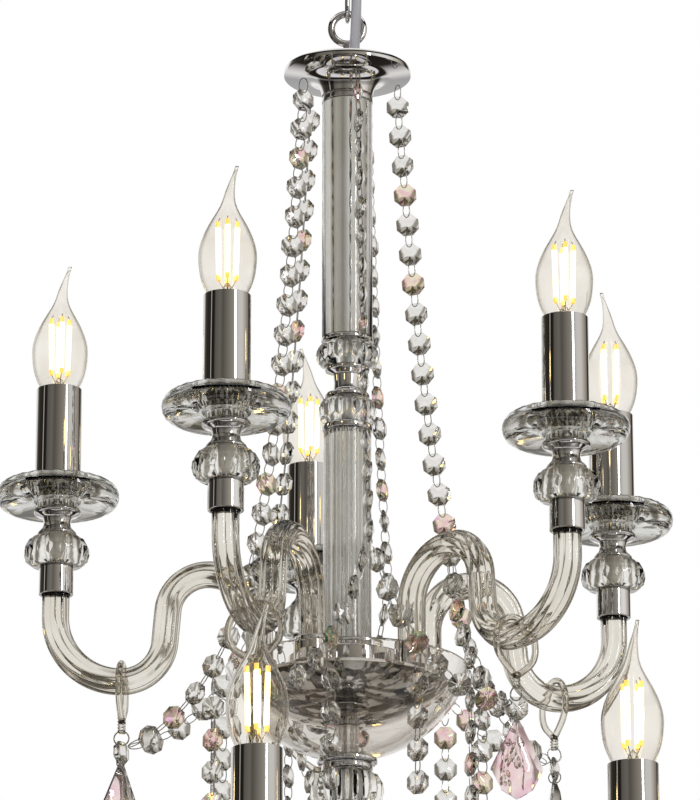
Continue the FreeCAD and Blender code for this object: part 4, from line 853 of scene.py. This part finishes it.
# %% Gem, spool, pan and tube
gem = grooved([(17, -122.2), (20.6, -119.4), (21.8, -114.8), (21.5, -110.4), (18.6, -105.2), (13, -101.5)], 17, TAIL_HOLE)
spool = spun(softened([(TAIL_HOLE, -101.5), (13.2, -101.5), (13.2, -100.2), (9.6, -96.6), (8.9, -93.4), (9.6, -89.6),
                       (13.0, -87.6), (15.7, -86.9), (15.7, -84.2), (13.4, -83.5), (TAIL_HOLE, -83.5)], 1.3, 5), 64)
candle = spun(tube(15.3, 14.6, 0, -62.5, 0.25), 72)
washer = spun(softened([(5.4, -62.3), (14.5, -62.3), (14.5, -61.3), (5.4, -61.3)], 0.2), 48)

PAN_SIDES, PAN_BORE, PAN_TOP, PAN_FOOT, TABLE_R = 28, 13.4, -62.5, -83.5, 17
pan_edge = bend((32.4, -74.3), 8.9, -80, 84, 20.5)
pan_floor = bands([ring(PAN_BORE, PAN_FOOT, PAN_SIDES), ring(31.0, PAN_FOOT, PAN_SIDES), ring(*pan_edge[0], PAN_SIDES)])
pan_cut = cut([*pan_edge, (27.0, -64.7), (TABLE_R, PAN_TOP)], PAN_SIDES)
pan_table = bands([ring(TABLE_R, PAN_TOP, PAN_SIDES), ring(PAN_BORE, PAN_TOP, PAN_SIDES),
                   ring(PAN_BORE, PAN_FOOT, PAN_SIDES)])
pan_core = spun(softened([(TAIL_HOLE, -83.4), (13.0, -83.4), (13.0, -62.6), (TAIL_HOLE, -62.6)], 0.3), 48)

CANDLE_PIECES = (
    ("crystal_gems", "crystal", [(gem, crystal, False)]), ("candle_spools", "chrome", [(spool, chrome, True)]),
    ("drip_pans", "crystal", [(pan_floor, pan_crystal, True), (pan_cut, pan_crystal, False),
                              (pan_table, pan_crystal, False), (pan_core, chrome, True)]),
    ("candle_tubes", "candle_chrome", [(candle, smoke_chrome, True), (washer, fibre, True)]))
for tier, angles, reach, level in TIERS:
    for label, slot, parts in CANDLE_PIECES:
        piece(tier + "_" + label.split("_")[-1] + "_cut", "chandelier",
              [(standing(shape, reach, angles, level), look, smooth) for shape, look, smooth in parts],
              [tier + "_" + label], crease=50)

# %% [markdown]
# ## Flame bulbs
# The envelope is blown thin, drawn to a tip and bent over while it is hot. Inside, a glass stem carries four phosphor
# strips. Each bulb turns in its own holder, so each is a piece of its own.

# %% Envelope, stem, strips and cap
def envelope(stations, sides=40, rows=44, inward=False):
    """Level circles of a spline's radius about a spline's centre: (aside + r cos t, r sin t, z), closed at both ends."""
    z, r, aside = through(stations, rows).T
    t = np.append(np.arange(sides), 0) * 2 * np.pi / sides
    t = -t if inward else t
    r = np.concatenate([[0], r, [0]])[:, None]
    z, aside = np.pad(z, 1, mode="edge")[:, None], np.pad(aside, 1, mode="edge")[:, None]
    return woven(np.stack([aside + r * np.cos(t), r * np.sin(t), z + 0 * t], axis=-1))


FLAME = np.array([(-6, 10.4, 0), (0, 12.5, 0), (10, 16.6, 0), (21, 18.6, 0), (30, 18.6, 0), (40, 15.9, 0), (48, 12.2, 0),
                  (56, 7.7, 0.1), (62, 5.0, 0.4), (69, 3.4, 1.1), (77, 2.1, 2.8), (83, 1.3, 4.6), (87.4, 1.2, 5.8)])
WALL = 0.6
hollow = np.column_stack([FLAME[:, 0] + (0.5, *[0] * 11, -2.5), np.maximum(FLAME[:, 1] - WALL, 0.4), FLAME[:, 2]])
outer, inner = envelope(FLAME), envelope(hollow, inward=True)
glass_stem = spun(softened([(0, -5), (5.6, -5), (4.2, 2), (2.2, 7), (0, 9.5)], 1.0), 24)


def strip(angle, low, high, radius, out_low=5.4, out_high=6.2):
    """A straight rod beside the axis, leaning out a little towards its top."""
    outward = np.array((math.cos(math.radians(angle)), math.sin(math.radians(angle)), 0))
    foot, head = outward * out_low + (0, 0, low), outward * out_high + (0, 0, high)
    line = foot + np.linspace(0, 1, 6)[:, None] * (head - foot)
    across = unit(np.cross(head - foot, outward))
    return carried(line, across, round_section(radius, 12))


STRIP_ANGLES = (16, 106, 196, 286)
bulb_parts = [(joined(outer, inner), bulb_glass, True), (glass_stem, bulb_glass, True)]
bulb_parts += [(strip(a, 14, 46, 1.6), phosphor, True) for a in STRIP_ANGLES]
bulb_parts += [(joined(strip(a, 10.5, 14, 1.4), strip(a, 46, 50, 1.4, 6.2, 6.3)), phosphor_end, True)
               for a in STRIP_ANGLES]
bulb_parts += [(joined(strip(a, 3, 10.5, 0.3, 1.6, 5.4), strip(a, 50, 52.5, 0.3, 6.3, 5.0)), silver_wire, True)
               for a in STRIP_ANGLES]
thread = [(6.9 - 0.5 * (k % 2), -28.5 + 1.3 * k) for k in range(16)]
bulb_parts.append((spun(softened([(0, -30), (3.1, -30), *thread, (6.9, -6.2), (0, -6.2)], 0.4, 3), 40), brass, True))
places = [(reach, angle, level) for _, angles, reach, level in TIERS for angle in angles]
TIPS = (75, 80, -60, -95, 88, 70, 40, -20, 110, 200, -140, 10, 60, -75, 150)   # which way each tip leans, as screwed in
for number, ((reach, angle, level), tip) in enumerate(zip(places, TIPS), 1):
    foot = directions(angle)[0] * reach + np.array([0, 0, level])
    turn = np.stack(directions(tip), axis=-1)
    piece("flame_bulb_%02d" % number, "bulb_%02d" % number,
          [(stamped(shape, turn, foot), look, smooth) for shape, look, smooth in bulb_parts], ["bulb_%02d" % number],
          crease=50)

# %% [markdown]
# # Crystal dressing
# Five strands of eight-sided beads fall from the top disc. Each forks above the bowl into two branches, which end under
# the arms on either side, and a short string drops from the middle of each branch. Bent wire rings join bead to bead
# near their edges. There are hundreds, so each bead has a few dozen faces and all of them are stamped into one mesh.

# %% A bead and its ring
def bead_shape(table=1.2, across=15.0, half=3.4, girdle=0.7):
    """Two eight-sided cones back to back on a thin girdle, each with a small table: plain facets, as beads have."""
    edge = across / 2 / math.cos(math.pi / 8)
    return tabled([ring(r, z, 8, 0.5) for r, z in ((table, -half), (edge, -girdle), (edge, girdle), (table, half))])


def oval(length, width, wire=0.42, sides=6, steps=18):
    """A wire ring: (length cos t, 0, width sin t), with its long way along X and its short way through the bead."""
    t = np.arange(steps) * 2 * np.pi / steps
    path = np.stack([length * np.cos(t), 0 * t, width * np.sin(t)], axis=-1)
    return carried(path, (0, 1, 0), round_section(wire, sides), closed=True)


BEAD, LINK = bead_shape(), oval(5.6, 3.0, 0.35)
print("a bead has", len(BEAD[0]), "points and a ring", len(LINK[0]))


def facing(along, normal):
    """Turns with X along a direction and Z as near to the normal as that leaves it."""
    along = unit(along)
    face = unit(normal - along * (normal * along).sum(-1, keepdims=True))
    return np.stack([along, np.cross(face, along), face], axis=-1)

# %% The strands' places
def radial(r_z, angle):
    """(radius, height from the rim) in the upright plane at an angle."""
    out, _, up = directions(angle)
    r_z = np.asarray(r_z, float)
    return out * r_z[..., :1] + up * (r_z[..., 1:] + RIM)


PITCH = 21.5                          # from bead to bead, counted on the strand at the front right


def spaced(path):
    """Places about a pitch apart, from a path's start to its end."""
    length = np.linalg.norm(np.diff(path, axis=0), axis=1).sum()
    return evenly(path, int(round(length / PITCH)) + 1)


STRAND_ROUTE = ((34.3, 195), (37, 160), (42, 95), (48, 30), (56, -45), (68, -122))         # its end is the fork
LOOP_R, LOOP_BEAD = UPPER_REACH - 45, -248.4
DROPS_TURN = 40                       # degrees that the loop's bead and drop hang turned against their arm


def branch(angle, arm, side):
    """A cubic from the fork to the bead under the loop, whose handles lie aside of the strand and of the arm."""
    fork, down = radial(STRAND_ROUTE[-1], angle), radial((74, -186), angle + side * 9.5)
    before, end = radial((107, -243), arm - side * 9.0), radial((LOOP_R, LOOP_BEAD), arm)
    return cubic(fork, down, before, end, np.linspace(0, 1, 200)[:, None])


beads, links = [], []          # (places, along, normal) of each run, in order


def hang(places, normals):
    """Notes a bead at every place but the first, and a ring halfway to the place above it."""
    ahead = places[:-1] - places[1:]
    beads.append((places[1:], ahead, normals[1:]))
    links.append(((places[:-1] + places[1:]) / 2, ahead, normals[1:]))


arms = np.sort(UPPER_ANGLES % 360)
for k in range(5):
    angle = 12.0 + 72.0 * k
    side = directions(angle)[1]
    main = spaced(radial(through(STRAND_ROUTE, 300), angle))
    main = np.vstack([main[:1] + (0, 0, 21.2), main])
    hang(main, np.repeat(side, len(main), axis=0))
    for arm in (arms[k - 1] - (360 if k == 0 else 0), arms[k]):
        places = spaced(branch(angle, arm, 1 if arm > angle else -1))
        square = unit(np.cross(places[-1] - places[0], (0, 0, 1)))[None]
        square = square * np.sign((square * side).sum())
        share = np.minimum(np.arange(len(places)) / 3, 1)[:, None]
        normals = unit(side * (1 - share) + square * share)
        ahead = places[:-1] - places[1:]
        beads.append((places[1:-1], ahead[:-1], normals[1:-1]))
        links.append(((places[:-1] + places[1:]) / 2, ahead, normals[1:]))
        middle = places[len(places) // 2]
        string = middle + np.array([(0, 0, 0)] + [(0, 0, -28.0 - PITCH * step) for step in range(4)])
        hang(string, np.repeat(normals[len(places) // 2][None], 5, axis=0))

for angle in UPPER_ANGLES:
    beads.append((radial((LOOP_R, LOOP_BEAD - 2.6), angle), np.array([(0, 0, 1.0)]),
                  directions(angle - DROPS_TURN)[0]))
feet, along, normal = [np.concatenate(column) for column in zip(*beads)]
coat = (np.arange(len(feet)) * 7 % 11) < 2           # about one bead in five carries the coat
nudge = np.random.default_rng(5).normal(0, 0.14, normal.shape)    # each bead hangs a few degrees off its neighbours
turn = facing(along, normal + nudge)
piece("beads_clear", "chandelier", [(stamped(BEAD, turn[~coat], feet[~coat]), bead_crystal, False)],
      ["bead_strands", "strand_drops"])
piece("beads_coated", "chandelier", [(stamped(BEAD, turn[coat], feet[coat]), coated_crystal, False)])
feet, along, normal = [np.concatenate(column) for column in zip(*links)]
aslant = 0.64 * normal + 0.77 * np.cross(unit(along), normal)          # the rings lean 50 degrees out of square
piece("bead_rings", "chandelier", [(stamped(LINK, facing(along, aslant), feet), silver_wire, True)])

# %% [markdown]
# ## Loops and pendants
# A glass loop rides over each upper arm, drawn to a twisted neck that a ring hangs from. Below its bead hangs a
# kite-shaped drop of rose crystal on a ring of its own, which lets it swing. The loop's outline is worked out as arcs
# and cubics and carried as the chain is; the drop is cut, so it is built from its outline at three depths.

# %% Loop, ring and drop
CROWN_R, CROWN_HIGH = 18.6, 17.0


def loop_path():
    """A large arc over a small one, joined by sides that bulge: a cubic with four handles runs from one to the other."""
    handles = np.array([(CROWN_R, -CROWN_HIGH), (19.4, -28.5), (7.0, -33.5), (2.6, -37.2)])
    side = cubic(*handles, np.linspace(0, 1, 24)[1:-1, None])
    crown = bend((0, -CROWN_HIGH), CROWN_R, 0, 180)
    crown[:, 1] = -CROWN_HIGH + (crown[:, 1] + CROWN_HIGH) * CROWN_HIGH / CROWN_R
    line = np.vstack([crown, side * (-1, 1), [(0, -38.2)], side[::-1]])
    return evenly(np.vstack([line, line[:1]]), 97)[:-1]


def twisted(top, foot, radius, rounds=1.6):
    """A three-lobed section that turns as it goes down, so its ribs run as a rope's strands do."""
    z = np.linspace(top, foot, 22)
    t = np.append(np.arange(24), 0) * 2 * np.pi / 24
    spin = 2 * np.pi * rounds * (z - top) / (foot - top)
    r = radius * (1 - 0.16 * np.cos(3 * (t + spin[:, None])))
    section = np.stack([r * np.cos(t), r * np.sin(t)], axis=-1)
    return carried(np.stack([0 * z, 0 * z, z], axis=-1), (0, 1, 0), section)


glass_loop = joined(wire_loop(loop_path(), "yz", 2.25, 20), twisted(-36.5, -46.75, 2.5))
hook = stamped(oval(4.9, 4.9, 0.5, 8, 28), facing(np.array([[0, 0, 1.0]]), np.array([[1.0, 0, 0]])), [(0, 0, -241.3)])
piece("glass_loops", "chandelier", [
    (standing(glass_loop, LOOP_R, UPPER_ANGLES, RIM - 191.15), arm_glass, True),
    (standing(hook, LOOP_R, UPPER_ANGLES, RIM), silver_wire, True)], ["arm_loops"], crease=60)


def kite():
    """The drop's outline seen from the front, at three depths: a girdle, a slope and a smaller table on each face."""
    outline = np.array([(1.6, -2.2), (17, -34.2), (10.2, -47.8), (0.01, -54), (-10.2, -47.8), (-17, -34.2), (-1.6, -2.2)])
    heart = np.array([0, -33.0])
    faces = []
    for share, depth in ((1.0, 1.0), (0.72, 3.9), (0.34, 5.4)):
        x, z = (heart + (outline[::-1] - heart) * share).T
        faces.append(np.stack([x, 0 * x + depth, z], axis=-1))
    return tabled([face * (1, -1, 1) for face in faces[::-1]] + faces)


pendant_ring = stamped(oval(4.0, 4.2, 0.42), facing(np.array([[0, 0, 1.0]]), np.array([[0, 1.0, 0]])), [(0, 0, -0.4)])
for number, angle in enumerate(UPPER_ANGLES, 1):
    foot = radial((LOOP_R, -256.4), angle)
    out, side, up = directions(angle - DROPS_TURN)
    turn = np.stack([side, -out, up], axis=-1)
    piece("rose_drop_%d" % number, "pendant_%d" % number, [
        (stamped(kite(), turn, foot), pink_crystal, False), (stamped(pendant_ring, turn, foot), silver_wire, True)],
        ["pendant_%d" % number])

# %% [markdown]
# # Inside and on the ceiling
# The plate that the ceiling screws hold, its lock nut, the tie rod and the lamp holders are nearly hidden. Their plain
# solids have the right shape, so they stay and only take a finish.

# %% Finishes for the solids that stay
for name, look in (("fixing_plate", steel), ("lock_nut", steel), ("tie_rod", steel), ("lamp_holders", holder_plastic)):
    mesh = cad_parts[name].data
    mesh.materials.clear()
    mesh.materials.append(look)
print("triangles in all", sum(pieces.values()))
